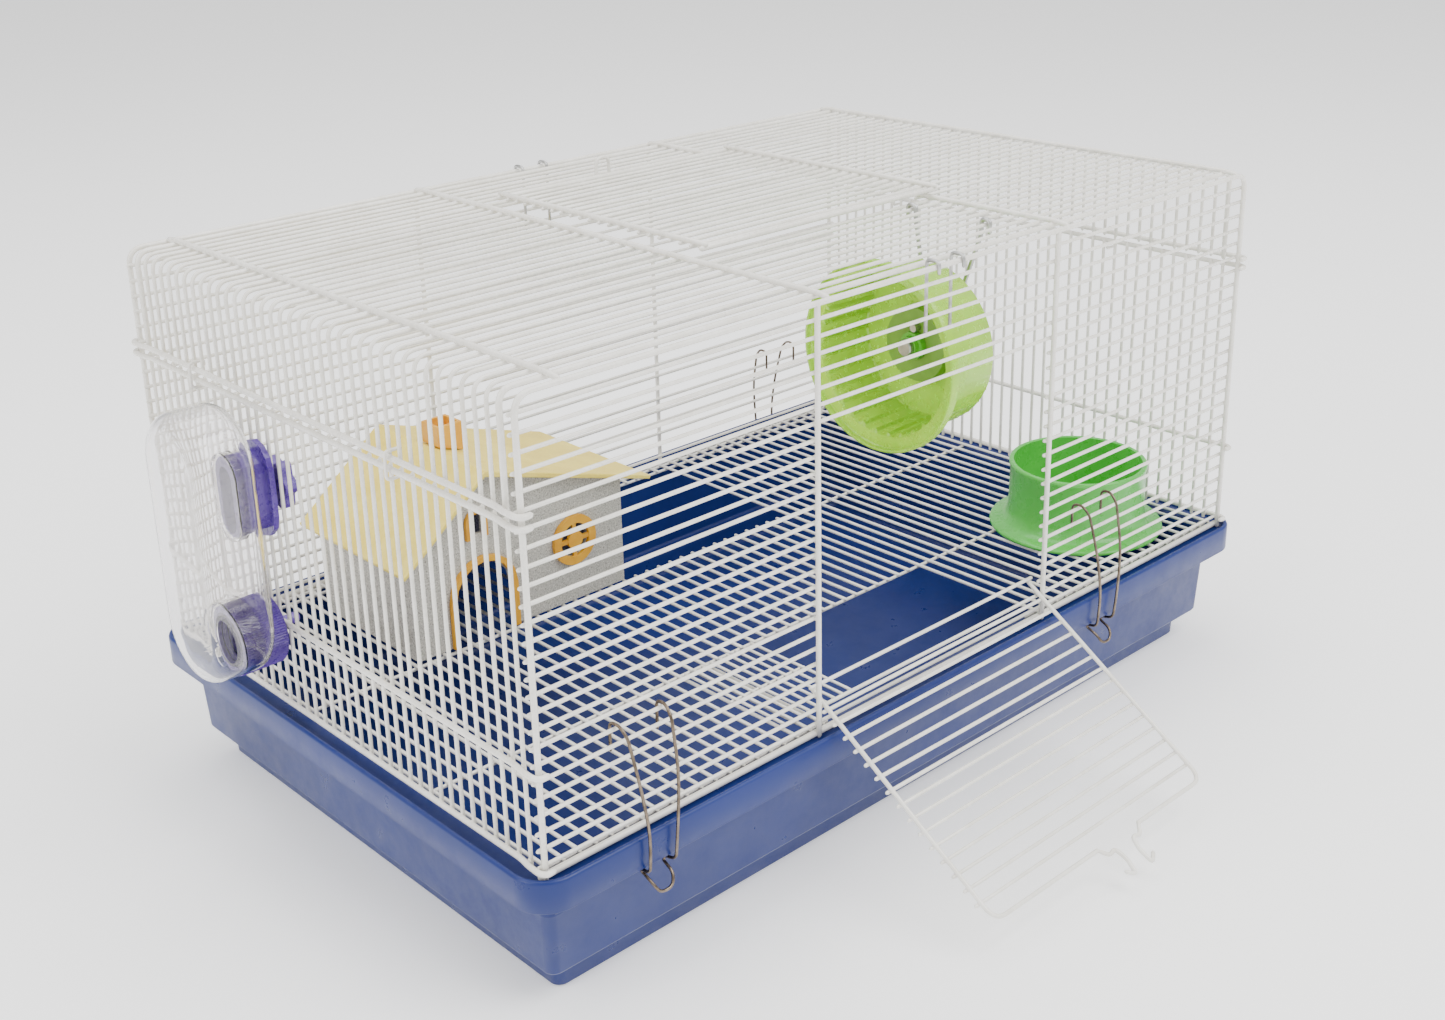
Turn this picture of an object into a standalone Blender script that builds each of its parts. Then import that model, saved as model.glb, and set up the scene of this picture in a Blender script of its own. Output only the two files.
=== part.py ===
"""Wire hamster cage on a moulded tray, with its fittings, as separate solids.

Cage coordinates: X to the right along the front, Y to the back, Z up from the top of the tray's rim, from the
front left corner of the wire top. Everything hangs on one empty that moves this corner, so that the world origin
is the centre of the tray's underside. Lengths are in metres.
"""

import math

import bmesh
import bpy
from mathutils import Matrix, Vector

# Driving sizes of the wire top and the tray
LENGTH = 0.578
DEPTH = 0.360
TOP = 0.240
TRAY_DEPTH = 0.085
GAP = 0.0003

# Wires: diameters are the widths of the square rods that stand for them
WIRE = 0.0022
HEAVY = 0.0032
WELD = 0.0005
FRONT_ROWS = 26
FRONT_PITCH = 0.00911
FRONT_FIRST = 0.0031
SIDE_MARGIN = 0.0086
SIDE_COUNT = 38
SIDE_PITCH = (DEPTH - 2 * SIDE_MARGIN) / (SIDE_COUNT - 1)
FLOOR_PITCH = 0.010
FLOOR_FIRST = 0.005
# The finer panels hold every third wire here; the others are surface detail
WIRE_STEP = 3

# Heights of the cross bars on the ends, and of the seam between roof and end panels
LOW_BAR_Z = 0.054
PANEL_TOP_Z = 0.179
DROP_BOTTOM_Z = 0.185

# Roof bars, door posts and openings
ROOF_BARS_X = (0.025, 0.1947, 0.3918, 0.5686)
POSTS_X = (0.1864, 0.3825)
LINTEL_ROW = 19
SILL_ROW = 1
HATCH_Y = (0.100, 0.283)
HATCH_X = (0.203, 0.396)
HATCH_OPENING_Y = (0.104, 0.279)
HATCH_AXIS_Z = TOP + 0.0065

# Front door, measured along itself from its hinge line
DOOR_X = (0.1893, 0.3797)
DOOR_OFFSET = 0.0031
DOOR_LENGTH = 0.143
DOOR_TAIL = 0.010
DOOR_FIRST = 0.0040
DOOR_OPEN = math.radians(123)
HINGE_Z = FRONT_FIRST + SILL_ROW * FRONT_PITCH

# Floor grid and its two cut-outs
FLOOR_Z = -0.0012
FRONT_CUTOUT = (0.200, 0.377, 0.100)
REAR_CUTOUT = (0.235, 0.377, 0.218, 0.348)

# Wheel
WHEEL_Y = 0.070
WHEEL_Z = 0.1656
WHEEL_FRONT_X = 0.3097
WHEEL_BACK_X = 0.357
WHEEL_RIM = 0.0577
WHEEL_DRUM = 0.0493
AXLE_RADIUS = 0.0040

# Bowl
BOWL_CENTRE = (0.510, 0.066)
BOWL_FLANGE = 0.0580
BOWL_CUP = 0.0450
BOWL_HEIGHT = 0.0463

# House
HOUSE_X = (0.077, 0.235)
HOUSE_Y = (0.218, 0.318)
HOUSE_LEFT_EAVE = 0.063
HOUSE_RIGHT_EAVE = 0.072
HOUSE_APEX = (0.128, 0.1035)
HOUSE_WALL = 0.0025
ROOF_LEFT_X = 0.067
ROOF_RIGHT_X = 0.254
ROOF_RIDGE_Z = 0.1089
ROOF_EAVE_TOP_Z = 0.0695

# Bottle: its eye, its holder and its cap
BOTTLE_X = (-0.054, -0.0185)
BOTTLE_Y = 0.2285
BOTTLE_HALF_WIDTH = 0.0315
BOTTLE_Z = (0.034, 0.186)
BOTTLE_WALL = 0.0016
HOLDER_Z = 0.134
HOLDER_Y = SIDE_MARGIN + 23.5 * SIDE_PITCH
CAP_Z = 0.048
CAP_FRONT_X = -0.0300
HOLDER_FRONT_X = -0.0235
CAP_Y = SIDE_MARGIN + 24.5 * SIDE_PITCH
CAP_RADIUS = 0.0205

X, Y, Z = Vector((1, 0, 0)), Vector((0, 1, 0)), Vector((0, 0, 1))


# Scene, materials and objects


def clear_scene():
    for obj in list(bpy.data.objects):
        bpy.data.objects.remove(obj, do_unlink=True)


def make_material(name, color, roughness, metallic=0.0, alpha=1.0):
    material = bpy.data.materials.new(name)
    material.use_nodes = True
    shader = material.node_tree.nodes["Principled BSDF"]
    shader.inputs["Base Color"].default_value = (*color, 1.0)
    shader.inputs["Roughness"].default_value = roughness
    shader.inputs["Metallic"].default_value = metallic
    shader.inputs["Alpha"].default_value = alpha
    return material


def make_corner():
    corner = bpy.data.objects.new("wire_top_corner", None)
    corner.location = (-LENGTH / 2, -DEPTH / 2, TRAY_DEPTH)
    bpy.context.scene.collection.objects.link(corner)
    return corner


def add_object(name, mesh, material=None, pivot=None):
    """Links a mesh that is built in cage coordinates, with its origin moved to pivot."""
    obj = bpy.data.objects.new(name, mesh)
    bpy.context.scene.collection.objects.link(obj)
    obj.parent = CORNER
    if pivot is not None:
        mesh.transform(Matrix.Translation(-Vector(pivot)))
        obj.location = pivot
    if material is not None:
        mesh.materials.append(material)
    return obj


def add_cutter(name, mesh, pivot=None):
    cutter = add_object(name, mesh, pivot=pivot)
    cutter.hide_render = True
    cutter.display_type = "WIRE"
    return cutter


def boolean(obj, cutter, operation):
    """Applies a cutter, which then follows the object wherever it is turned."""
    cutter.parent = obj
    cutter.location -= obj.location
    modifier = obj.modifiers.new(operation.lower(), "BOOLEAN")
    modifier.operation = operation
    modifier.object = cutter
    modifier.solver = "EXACT"


def mesh_from(name, build, smooth=False):
    bm = bmesh.new()
    build(bm)
    bmesh.ops.recalc_face_normals(bm, faces=bm.faces)
    mesh = bpy.data.meshes.new(name)
    bm.to_mesh(mesh)
    bm.free()
    if smooth:
        mesh.shade_smooth()
        mesh.set_sharp_from_angle(angle=math.radians(35))
    return mesh


# Shapes


def add_box(bm, low, high):
    size = [b - a for a, b in zip(low, high)]
    middle = [(a + b) / 2 for a, b in zip(low, high)]
    matrix = Matrix.Translation(middle) @ Matrix.Diagonal((*size, 1))
    bmesh.ops.create_cube(bm, size=1, matrix=matrix)


def boxes_mesh(name, boxes):
    def build(bm):
        for low, high in boxes:
            add_box(bm, low, high)

    return mesh_from(name, build)


def x_rod(x0, x1, y, z, width=WIRE):
    half = width / 2
    return (x0, y - half, z - half), (x1, y + half, z + half)


def y_rod(x, y0, y1, z, width=WIRE):
    half = width / 2
    return (x - half, y0, z - half), (x + half, y1, z + half)


def z_rod(x, y, z0, z1, width=WIRE):
    half = width / 2
    return (x - half, y - half, z0), (x + half, y + half, z1)


def layer_offset(lower_width, upper_width):
    """Distance between the centre planes of two welded layers of rods."""
    return (lower_width + upper_width) / 2 - WELD


def add_grille(name, rods, cross_rods, material, pivot=None):
    grille = add_object(name, boxes_mesh(name, rods), material, pivot)
    cross = add_cutter(name + "_cross_rods", boxes_mesh(name + "_cross_rods", cross_rods), pivot)
    boolean(grille, cross, "UNION")
    return grille


def add_prism(bm, outline, low, high, place):
    """A prism of a counter-clockwise outline; place turns (u, v, w) into a cage point."""
    bottom = [bm.verts.new(place(u, v, low)) for u, v in outline]
    top = [bm.verts.new(place(u, v, high)) for u, v in outline]
    bm.faces.new(bottom)
    bm.faces.new(top)
    for i in range(len(outline)):
        j = (i + 1) % len(outline)
        bm.faces.new((bottom[i], bottom[j], top[j], top[i]))


def prism_mesh(name, outline, low, high, place, smooth=False):
    return mesh_from(name, lambda bm: add_prism(bm, outline, low, high, place), smooth)


def along_y(u, v, w):
    return u, w, v


def along_x(u, v, w):
    return w, u, v


def turned_mesh(name, profile, centre, axis, steps, closed=False, ripple=None):
    """Turns (position along axis, radius) pairs about a line. closed joins the last pair to the first."""
    u = Y if axis == X else X
    v = axis.cross(u)

    def build(bm):
        rings = []
        for index, (along, radius) in enumerate(profile):
            base = Vector(centre) + axis * along
            if radius == 0:
                rings.append([bm.verts.new(base)] * steps)
                continue
            ring = []
            for step in range(steps):
                angle = 2 * math.pi * step / steps
                bump = ripple(index, step) if ripple else 0.0
                direction = u * math.cos(angle) + v * math.sin(angle)
                ring.append(bm.verts.new(base + direction * (radius + bump)))
            rings.append(ring)
        pairs = list(zip(rings, rings[1:]))
        if closed:
            pairs.append((rings[-1], rings[0]))
        for first, second in pairs:
            for step in range(steps):
                after = (step + 1) % steps
                corners = (first[step], first[after], second[after], second[step])
                bm.faces.new(list(dict.fromkeys(corners)))

    return mesh_from(name, build, smooth=True)


def arc(centre, radius, start, end, steps):
    """Points on an arc, angles in degrees."""
    points = []
    for step in range(steps + 1):
        angle = math.radians(start + (end - start) * step / steps)
        points.append((centre[0] + radius * math.cos(angle), centre[1] + radius * math.sin(angle)))
    return points


def stadium(centre, half_width, half_height, steps=8):
    """An upright outline with round ends."""
    straight = half_height - half_width
    upper = arc((centre[0], centre[1] + straight), half_width, 0, 180, steps)
    lower = arc((centre[0], centre[1] - straight), half_width, 180, 360, steps)
    return upper + lower


def add_bent_wire(name, points, width, material, pivot=None):
    """A wire of square section along a line of points."""
    curve = bpy.data.curves.new(name, "CURVE")
    curve.dimensions = "3D"
    curve.bevel_depth = width / 2
    curve.bevel_resolution = 0
    curve.use_fill_caps = True
    spline = curve.splines.new("POLY")
    spline.points.add(len(points) - 1)
    offset = Vector(pivot) if pivot is not None else Vector()
    for point, place in zip(spline.points, points):
        point.co = (*(Vector(place) - offset), 1)
    curve.materials.append(material)
    obj = bpy.data.objects.new(name, curve)
    bpy.context.scene.collection.objects.link(obj)
    obj.parent = CORNER
    obj.location = offset
    return obj


# Tray


def rounded_ring(inset, z):
    """The tray's outline, moved in from the rim's outer edge."""
    overhang = 0.012
    corner_steps = 5
    radius = max(0.020 - inset, 0.006)
    low = (-overhang + inset, -overhang + inset)
    high = (LENGTH + overhang - inset, DEPTH + overhang - inset)
    corners = (
        ((high[0] - radius, high[1] - radius), 0),
        ((low[0] + radius, high[1] - radius), 90),
        ((low[0] + radius, low[1] + radius), 180),
        ((high[0] - radius, low[1] + radius), 270),
    )
    points = []
    for centre, start in corners:
        points += [(x, y, z) for x, y in arc(centre, radius, start, start + 90, corner_steps)]
    return points


def add_tray(material):
    """From the foot up the outside, over the rim with its hollow skirt, and down the inside."""
    foot_z = -TRAY_DEPTH
    steps = (
        (0.0290, foot_z),
        (0.0280, foot_z + 0.001),
        (0.0270, -0.0680),
        (0.0175, -0.0670),
        (0.0165, -0.0650),
        (0.0130, -0.0068),
        (0.0025, -0.0068),
        (0.0025, -0.0180),
        (0.0000, -0.0180),
        (0.0000, -0.0008),
        (0.0008, 0.0000),
        (0.0030, 0.0000),
        (0.0036, -0.0043),
        (0.0195, -0.0043),
        (0.0200, -0.0640),
        (0.0300, -0.0655),
        (0.0315, foot_z + 0.0025),
    )

    def build(bm):
        rings = [[bm.verts.new(point) for point in rounded_ring(inset, z)] for inset, z in steps]
        for lower, upper in zip(rings, rings[1:]):
            for i in range(len(lower)):
                j = (i + 1) % len(lower)
                bm.faces.new((lower[i], lower[j], upper[j], upper[i]))
        bm.faces.new(rings[0])
        bm.faces.new(rings[-1])

    add_object("tray", mesh_from("tray", build, smooth=True), material)


# Wire top


def front_row_z(row):
    return FRONT_FIRST + row * FRONT_PITCH


def side_wires_y():
    """Every wire of the ends and the roof that this model holds."""
    return [SIDE_MARGIN + k * SIDE_PITCH for k in range(0, SIDE_COUNT, WIRE_STEP)]


def add_front_panel(material):
    end = HEAVY / 2
    post_reach = WIRE / 2
    rods = [x_rod(-end, LENGTH + end, 0, TOP, HEAVY), x_rod(-0.001, LENGTH + 0.001, -0.0002, -0.0022, 0.0038)]
    for row in range(FRONT_ROWS):
        z = front_row_z(row)
        if SILL_ROW < row < LINTEL_ROW:
            rods.append(x_rod(-0.0012, POSTS_X[0] + post_reach, 0, z))
            rods.append(x_rod(POSTS_X[1] - post_reach, LENGTH + 0.0012, 0, z))
        else:
            rods.append(x_rod(-0.0012, LENGTH + 0.0012, 0, z))
    y = -layer_offset(WIRE, HEAVY)
    posts = [z_rod(x, y, -0.003, TOP + 0.0006, HEAVY) for x in (0.0, *POSTS_X, LENGTH)]
    add_grille("front_panel", rods, posts, material)


def add_back_panel(material):
    end = HEAVY / 2
    rods = [x_rod(-end, LENGTH + end, DEPTH, TOP, HEAVY), x_rod(-0.001, LENGTH + 0.001, DEPTH, -0.0022, 0.0038)]
    for row in range(0, FRONT_ROWS, WIRE_STEP):
        rods.append(x_rod(-0.0012, LENGTH + 0.0012, DEPTH, front_row_z(row)))
    y = DEPTH + layer_offset(WIRE, HEAVY)
    posts = [z_rod(x, y, -0.003, TOP + 0.0006, HEAVY) for x in (0.0, ROOF_BARS_X[1], ROOF_BARS_X[2], LENGTH)]
    add_grille("back_panel", rods, posts, material)


def add_end_panel(name, x, outward, material):
    rods = [z_rod(x, y, 0.0005, PANEL_TOP_Z + 0.001) for y in side_wires_y()]
    bar_x = x + outward * layer_offset(WIRE, HEAVY)
    ends = (0.0042, DEPTH - 0.0042)
    bars = [y_rod(bar_x, *ends, z, HEAVY) for z in (0.0024, LOW_BAR_Z, PANEL_TOP_Z)]
    add_grille(name, rods, bars, material)


def add_roof_drop(name, x, outward, material):
    rods = [z_rod(x, y, DROP_BOTTOM_Z - 0.001, TOP - WIRE / 2 - GAP) for y in side_wires_y()]
    bar_x = x + outward * layer_offset(WIRE, HEAVY)
    bars = [y_rod(bar_x, 0.0042, DEPTH - 0.0042, DROP_BOTTOM_Z, HEAVY)]
    add_grille(name, rods, bars, material)


def add_roof_grille(name, material, spans, bars_x, bar_ends):
    """Roof wires over each of the (x0, x1, from y, to y) spans, with the bars across them."""
    rods = []
    for x0, x1, low, high in spans:
        rods += [x_rod(x0, x1, y, TOP) for y in side_wires_y() if low < y < high]
    bar_z = TOP + layer_offset(WIRE, HEAVY)
    bars = [y_rod(x, *bar_ends, bar_z, HEAVY) for x in bars_x]
    add_grille(name, rods, bars, material)


def add_roof(material):
    """The roof sheet in four flat parts round the hatch opening."""
    ends = (-0.001, LENGTH + 0.001)
    front, back = HATCH_OPENING_Y
    split = 0.00025
    seams = (front - 0.0050, back - 0.0002)
    inset = 0.0062
    left = (ends[0], ROOF_BARS_X[1] + WIRE / 2, front, back)
    right = (ROOF_BARS_X[2] - WIRE / 2, ends[1], front, back)
    side_ends = (seams[0] + split, seams[1] - split)
    add_roof_grille("roof_front", material, [(*ends, 0.0, front)], ROOF_BARS_X, (inset, seams[0] - split))
    add_roof_grille("roof_left", material, [left], ROOF_BARS_X[:2], side_ends)
    add_roof_grille("roof_right", material, [right], ROOF_BARS_X[2:], side_ends)
    add_roof_grille("roof_back", material, [(*ends, back, DEPTH)], ROOF_BARS_X, (seams[1] + split, DEPTH - inset))


def add_roof_hatch(material):
    """Lies on the roof and turns about its own front wire."""
    count = 22
    pitch = (HATCH_Y[1] - HATCH_Y[0]) / (count - 1)
    rods = []
    for k in range(0, count, WIRE_STEP):
        width = HEAVY if k in (0, count - 1) else WIRE
        rods.append(x_rod(*HATCH_X, HATCH_Y[0] + k * pitch, HATCH_AXIS_Z, width))
    bar_z = HATCH_AXIS_Z + layer_offset(WIRE, HEAVY)
    ends = (HATCH_Y[0] - 0.001, HATCH_Y[1] + 0.001)
    bars = [y_rod(x, *ends, bar_z, HEAVY) for x in (HATCH_X[0] + 0.002, HATCH_X[1] - 0.002)]
    hatch = add_grille("roof_hatch", rods, bars, material, (HATCH_X[0], HATCH_Y[0], HATCH_AXIS_Z))
    loop_x, loop_half, loop_height = 0.287, 0.0055, 0.011
    loop = [
        z_rod(loop_x - loop_half, HATCH_Y[1], HATCH_AXIS_Z, HATCH_AXIS_Z + loop_height),
        z_rod(loop_x + loop_half, HATCH_Y[1], HATCH_AXIS_Z, HATCH_AXIS_Z + loop_height),
    ]
    legs = add_cutter("hatch_loop_legs", boxes_mesh("hatch_loop_legs", loop), hatch.location)
    boolean(hatch, legs, "UNION")
    reach = loop_half + 0.0015
    top = [x_rod(loop_x - reach, loop_x + reach, HATCH_Y[1], HATCH_AXIS_Z + loop_height - 0.0002, 0.0024)]
    bow = add_cutter("hatch_loop_bow", boxes_mesh("hatch_loop_bow", top), hatch.location)
    boolean(hatch, bow, "UNION")


def door_latch_points(side):
    """One half of the latch, in the closed door's plane: out from the edge, in to the middle and up to a barb."""
    middle = (DOOR_X[0] + DOOR_X[1]) / 2 + 0.0125
    foot, neck, tip = (0.0205, 0.1430), (0.0095, 0.1480), (0.0075, 0.1650)
    plan = (foot, (0.0165, 0.1475), neck, (0.0050, 0.1560), tip, (0.0125, 0.1610))
    return [(middle + side * across, DOOR_OFFSET, HINGE_Z + along) for across, along in plan]


def add_front_door(material):
    """Built shut against the inside of the opening, then turned about the sill wire to hang open."""
    pivot = (DOOR_X[0], 0.0, HINGE_Z)
    wires = int((DOOR_LENGTH - DOOR_FIRST) / FRONT_PITCH)
    inner = DOOR_OFFSET - layer_offset(WIRE, 0.0024)
    outer = DOOR_OFFSET + layer_offset(WIRE, 0.0024)
    reach = 0.0009
    rods = []
    for k in range(wires):
        z = HINGE_Z + DOOR_FIRST + k * FRONT_PITCH
        rods.append(x_rod(DOOR_X[0] - reach, DOOR_X[1] + reach, inner, z))
    rods.append(x_rod(DOOR_X[0] - reach, DOOR_X[1] + reach, outer, HINGE_Z - DOOR_TAIL))
    rods.append(x_rod(DOOR_X[0] + 0.002, DOOR_X[1] - 0.002, inner + 0.0006, HINGE_Z + DOOR_LENGTH, 0.0026))
    low, high = HINGE_Z - DOOR_TAIL - 0.0006, HINGE_Z + DOOR_LENGTH + 0.0005
    sides = [z_rod(x, DOOR_OFFSET, low, high, 0.0024) for x in (DOOR_X[0] + 0.001, DOOR_X[1] - 0.001)]
    corners = [x_rod(x0, x1, DOOR_OFFSET, high - 0.0022, 0.0022) for x0, x1 in (
        (DOOR_X[0] + 0.0030, DOOR_X[0] + 0.010), (DOOR_X[1] - 0.010, DOOR_X[1] - 0.0030))]
    door = add_grille("front_door", rods, sides + corners, material, pivot)
    for side, label in ((-1, "left"), (1, "right")):
        name = "door_latch_" + label
        add_latch_half(door, name, door_latch_points(side), pivot)
    door.rotation_euler.x = DOOR_OPEN


def add_latch_half(door, name, points, pivot):
    """Joins one half of the latch to the door as a ribbon of square section."""
    half = 0.0011

    def build(bm):
        rings = []
        for i, point in enumerate(points):
            before = Vector(points[max(i - 1, 0)])
            after = Vector(points[min(i + 1, len(points) - 1)])
            across = (after - before).normalized().cross(Y) * half
            centre = Vector(point)
            corners = (across + Y * half, -across + Y * half, -across - Y * half, across - Y * half)
            rings.append([bm.verts.new(centre + corner) for corner in corners])
        for first, second in zip(rings, rings[1:]):
            for i in range(4):
                j = (i + 1) % 4
                bm.faces.new((first[i], first[j], second[j], second[i]))
        bm.faces.new(rings[0])
        bm.faces.new(rings[-1])

    latch = add_cutter(name, mesh_from(name, build), pivot)
    boolean(door, latch, "UNION")


def add_floor_grille(name, material, span_x, span_y, bars_y):
    """Wires from front to back inside a rectangle, on bars at the given depths."""
    rods = []
    for k in range(0, int(LENGTH / FLOOR_PITCH) + 1, WIRE_STEP):
        x = FLOOR_FIRST + k * FLOOR_PITCH
        if span_x[0] < x < span_x[1]:
            rods.append(y_rod(x, *span_y, FLOOR_Z))
    bar_z = FLOOR_Z - layer_offset(WIRE, WIRE)
    add_grille(name, rods, [x_rod(*span_x, y, bar_z) for y in bars_y], material)


def add_floor(material):
    """The raised floor in five flat parts round its two cut-outs."""
    inset = 0.0030
    split = 0.00025
    low, high = inset - 0.0005, LENGTH - inset + 0.0005
    left, depth = FRONT_CUTOUT[0] - 0.0012, FRONT_CUTOUT[2]
    rear_left, right, rear_front, rear_back = REAR_CUTOUT
    end = DEPTH - inset
    over = 0.0010
    edge, back_edge = 0.0055, DEPTH - 0.0045
    all_bars = (edge, depth, rear_front, rear_back, back_edge)
    middle = (left + split, right + 0.0006 - split)
    strip = (middle[0], rear_left + 0.0015 - split)
    behind = (strip[1] + 2 * split, middle[1])
    add_floor_grille("floor_left", material, (low, left - split), (inset, end), all_bars)
    add_floor_grille("floor_right", material, (right + 0.0006 + split, high), (inset, end), all_bars)
    add_floor_grille("floor_middle", material, middle, (depth - over, rear_front + over), (depth, rear_front))
    add_floor_grille("floor_rear_left", material, strip, (rear_front + 2 * over, end), (rear_back, back_edge))
    add_floor_grille("floor_back", material, behind, (rear_back - over, end), (rear_back, back_edge))


def add_ramp(material):
    """A short ladder of fine wires that lies over the left edge of the front cut-out."""
    x0, x1, y0, y1 = 0.172, 0.231, 0.011, 0.094
    z = FLOOR_Z + WIRE / 2 + GAP + 0.0009
    rods = [y_rod(x0 + 0.003 + k * 0.0066, y0, y1, z + 0.0013, 0.0018) for k in range(9)]
    bars = [x_rod(x0, x1, y, z, 0.0018) for y in (y0 + 0.003, (y0 + y1) / 2, y1 - 0.003)]
    add_grille("floor_ramp", rods, bars, material)


def add_clips(material):
    """Four spring clips: each hangs on a cage wire and its two bends snap under the tray's rim."""
    row_z = front_row_z(6)
    width = 0.0016
    for label, x, wall_y, out in (
        ("front_left", 0.0625, 0.0, -1),
        ("front_right", 0.4325, 0.0, -1),
        ("back_left", 0.1455, DEPTH, 1),
        ("back_right", 0.5155, DEPTH, 1),
    ):
        half = (
            (0.0150, -0.0036, row_z - 0.0130),
            (0.0150, -0.0036, row_z + 0.0022),
            (0.0148, 0.0030, row_z + 0.0032),
            (0.0140, 0.0085, row_z - 0.0020),
            (0.0120, 0.0150, row_z - 0.0300),
            (0.0090, 0.0165, row_z - 0.0550),
            (0.0085, 0.0145, -0.0200),
            (0.0080, 0.0068, -0.0212),
            (0.0070, 0.0062, -0.0235),
            (0.0068, 0.0140, -0.0270),
            (0.0040, 0.0165, -0.0325),
        )
        left = [(x - across, wall_y + out * reach, z) for across, reach, z in half]
        right = [(x + across, wall_y + out * reach, z) for across, reach, z in reversed(half)]
        add_bent_wire("clip_" + label, left + right, width, material, (x, wall_y, row_z))


def add_seam_ties(material):
    """Short wire ties that hold the roof's ends to the end panels."""
    for label, x, out in (("left", 0.0, -1), ("right", LENGTH, 1)):
        for place, y in (("front", 0.0965), ("back", 0.2910)):
            reach = out * 0.0058
            inner = -out * 0.0030
            points = (
                (x + inner, y, DROP_BOTTOM_Z + 0.0016),
                (x + inner, y, DROP_BOTTOM_Z + 0.0042),
                (x + reach, y, DROP_BOTTOM_Z + 0.0042),
                (x + reach, y, PANEL_TOP_Z - 0.0042),
                (x + inner, y, PANEL_TOP_Z - 0.0042),
                (x + inner, y, PANEL_TOP_Z - 0.0016),
            )
            add_bent_wire(f"seam_tie_{label}_{place}", points, 0.0016, material)


def add_roof_hooks(material):
    """Hooks that hang the front and back panels on the roof's first and last wires."""
    for label, wall_y, inward in (("front", 0.0, 1), ("back", DEPTH, -1)):
        for side, x in (("left", 0.276), ("right", 0.296)):
            wall = wall_y - inward * 0.0034
            behind = wall_y + inward * 0.0040
            top = TOP + 0.0034
            points = (
                (x, wall, TOP - 0.0028),
                (x, wall, top),
                (x, behind, top),
                (x, behind, front_row_z(22) - 0.002),
            )
            add_bent_wire(f"roof_hook_{label}_{side}", points, 0.0020, material)


# Wheel


def add_wheel(drum_material, boss_material, hub_material, metal):
    centre = (0.0, WHEEL_Y, WHEEL_Z)
    skin = 0.0018
    inner = WHEEL_DRUM - skin
    steps = 40
    drum_profile = (
        (WHEEL_FRONT_X, WHEEL_RIM - 0.001),
        (WHEEL_FRONT_X + 0.0005, WHEEL_RIM),
        (WHEEL_FRONT_X + 0.0065, WHEEL_RIM),
        (WHEEL_FRONT_X + 0.0068, WHEEL_DRUM + 0.001),
        (WHEEL_BACK_X - 0.001, WHEEL_DRUM),
        (WHEEL_BACK_X, WHEEL_DRUM - 0.001),
        (WHEEL_BACK_X, AXLE_RADIUS + GAP),
        (WHEEL_BACK_X - 0.0022, AXLE_RADIUS + GAP),
        (WHEEL_BACK_X - 0.0022, inner),
        (WHEEL_FRONT_X + 0.0045, inner + 0.0008),
        (WHEEL_FRONT_X + 0.0042, WHEEL_RIM - 0.0018),
        (WHEEL_FRONT_X, WHEEL_RIM - 0.0018),
    )

    def treads(index, step):
        return -0.0012 * (step % 2) if index in (8, 9) else 0.0

    drum = turned_mesh("wheel_drum", drum_profile, centre, X, steps, closed=True, ripple=treads)
    hub_x, wheel_pivot = WHEEL_BACK_X - 0.0125, (WHEEL_BACK_X, WHEEL_Y, WHEEL_Z)
    add_object("wheel_drum", drum, drum_material, wheel_pivot)
    bore = AXLE_RADIUS + GAP
    hub_profile = (
        (hub_x, bore),
        (hub_x, 0.0225),
        (hub_x + 0.002, 0.0235),
        (WHEEL_BACK_X - 0.0022 - GAP, 0.0235),
        (WHEEL_BACK_X - 0.0022 - GAP, bore),
    )
    hub = turned_mesh("wheel_hub", hub_profile, centre, X, 28, closed=True)
    add_object("wheel_hub", hub, hub_material, wheel_pivot)
    pin_profile = ((hub_x - 0.0046, 0), (hub_x - 0.0046, 0.0024), (hub_x - GAP, 0.0024), (hub_x - GAP, 0))
    pin_centre = (0.0, WHEEL_Y - 0.002, WHEEL_Z + 0.0115)
    add_object("hub_pin", turned_mesh("hub_pin", pin_profile, pin_centre, X, 12), metal, wheel_pivot)
    boss_back = hub_x - GAP
    boss_profile = (
        (boss_back - 0.0065, bore),
        (boss_back - 0.0065, 0.0062),
        (boss_back - 0.0035, 0.0066),
        (boss_back - 0.0035, 0.0084),
        (boss_back, 0.0088),
        (boss_back, bore),
    )
    boss = turned_mesh("wheel_boss", boss_profile, centre, X, 16, closed=True)
    add_object("wheel_boss", boss, boss_material, wheel_pivot)
    head = boss_back - 0.0065 - GAP
    axle_profile = (
        (head - 0.0032, 0),
        (head - 0.0032, 0.0045),
        (head - 0.0024, 0.0052),
        (head, 0.0052),
        (head, AXLE_RADIUS),
        (WHEEL_BACK_X + 0.014, AXLE_RADIUS),
        (WHEEL_BACK_X + 0.014, 0),
    )
    add_object("wheel_axle", turned_mesh("wheel_axle", axle_profile, centre, X, 16), metal)
    add_wheel_hanger(metal)


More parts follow.
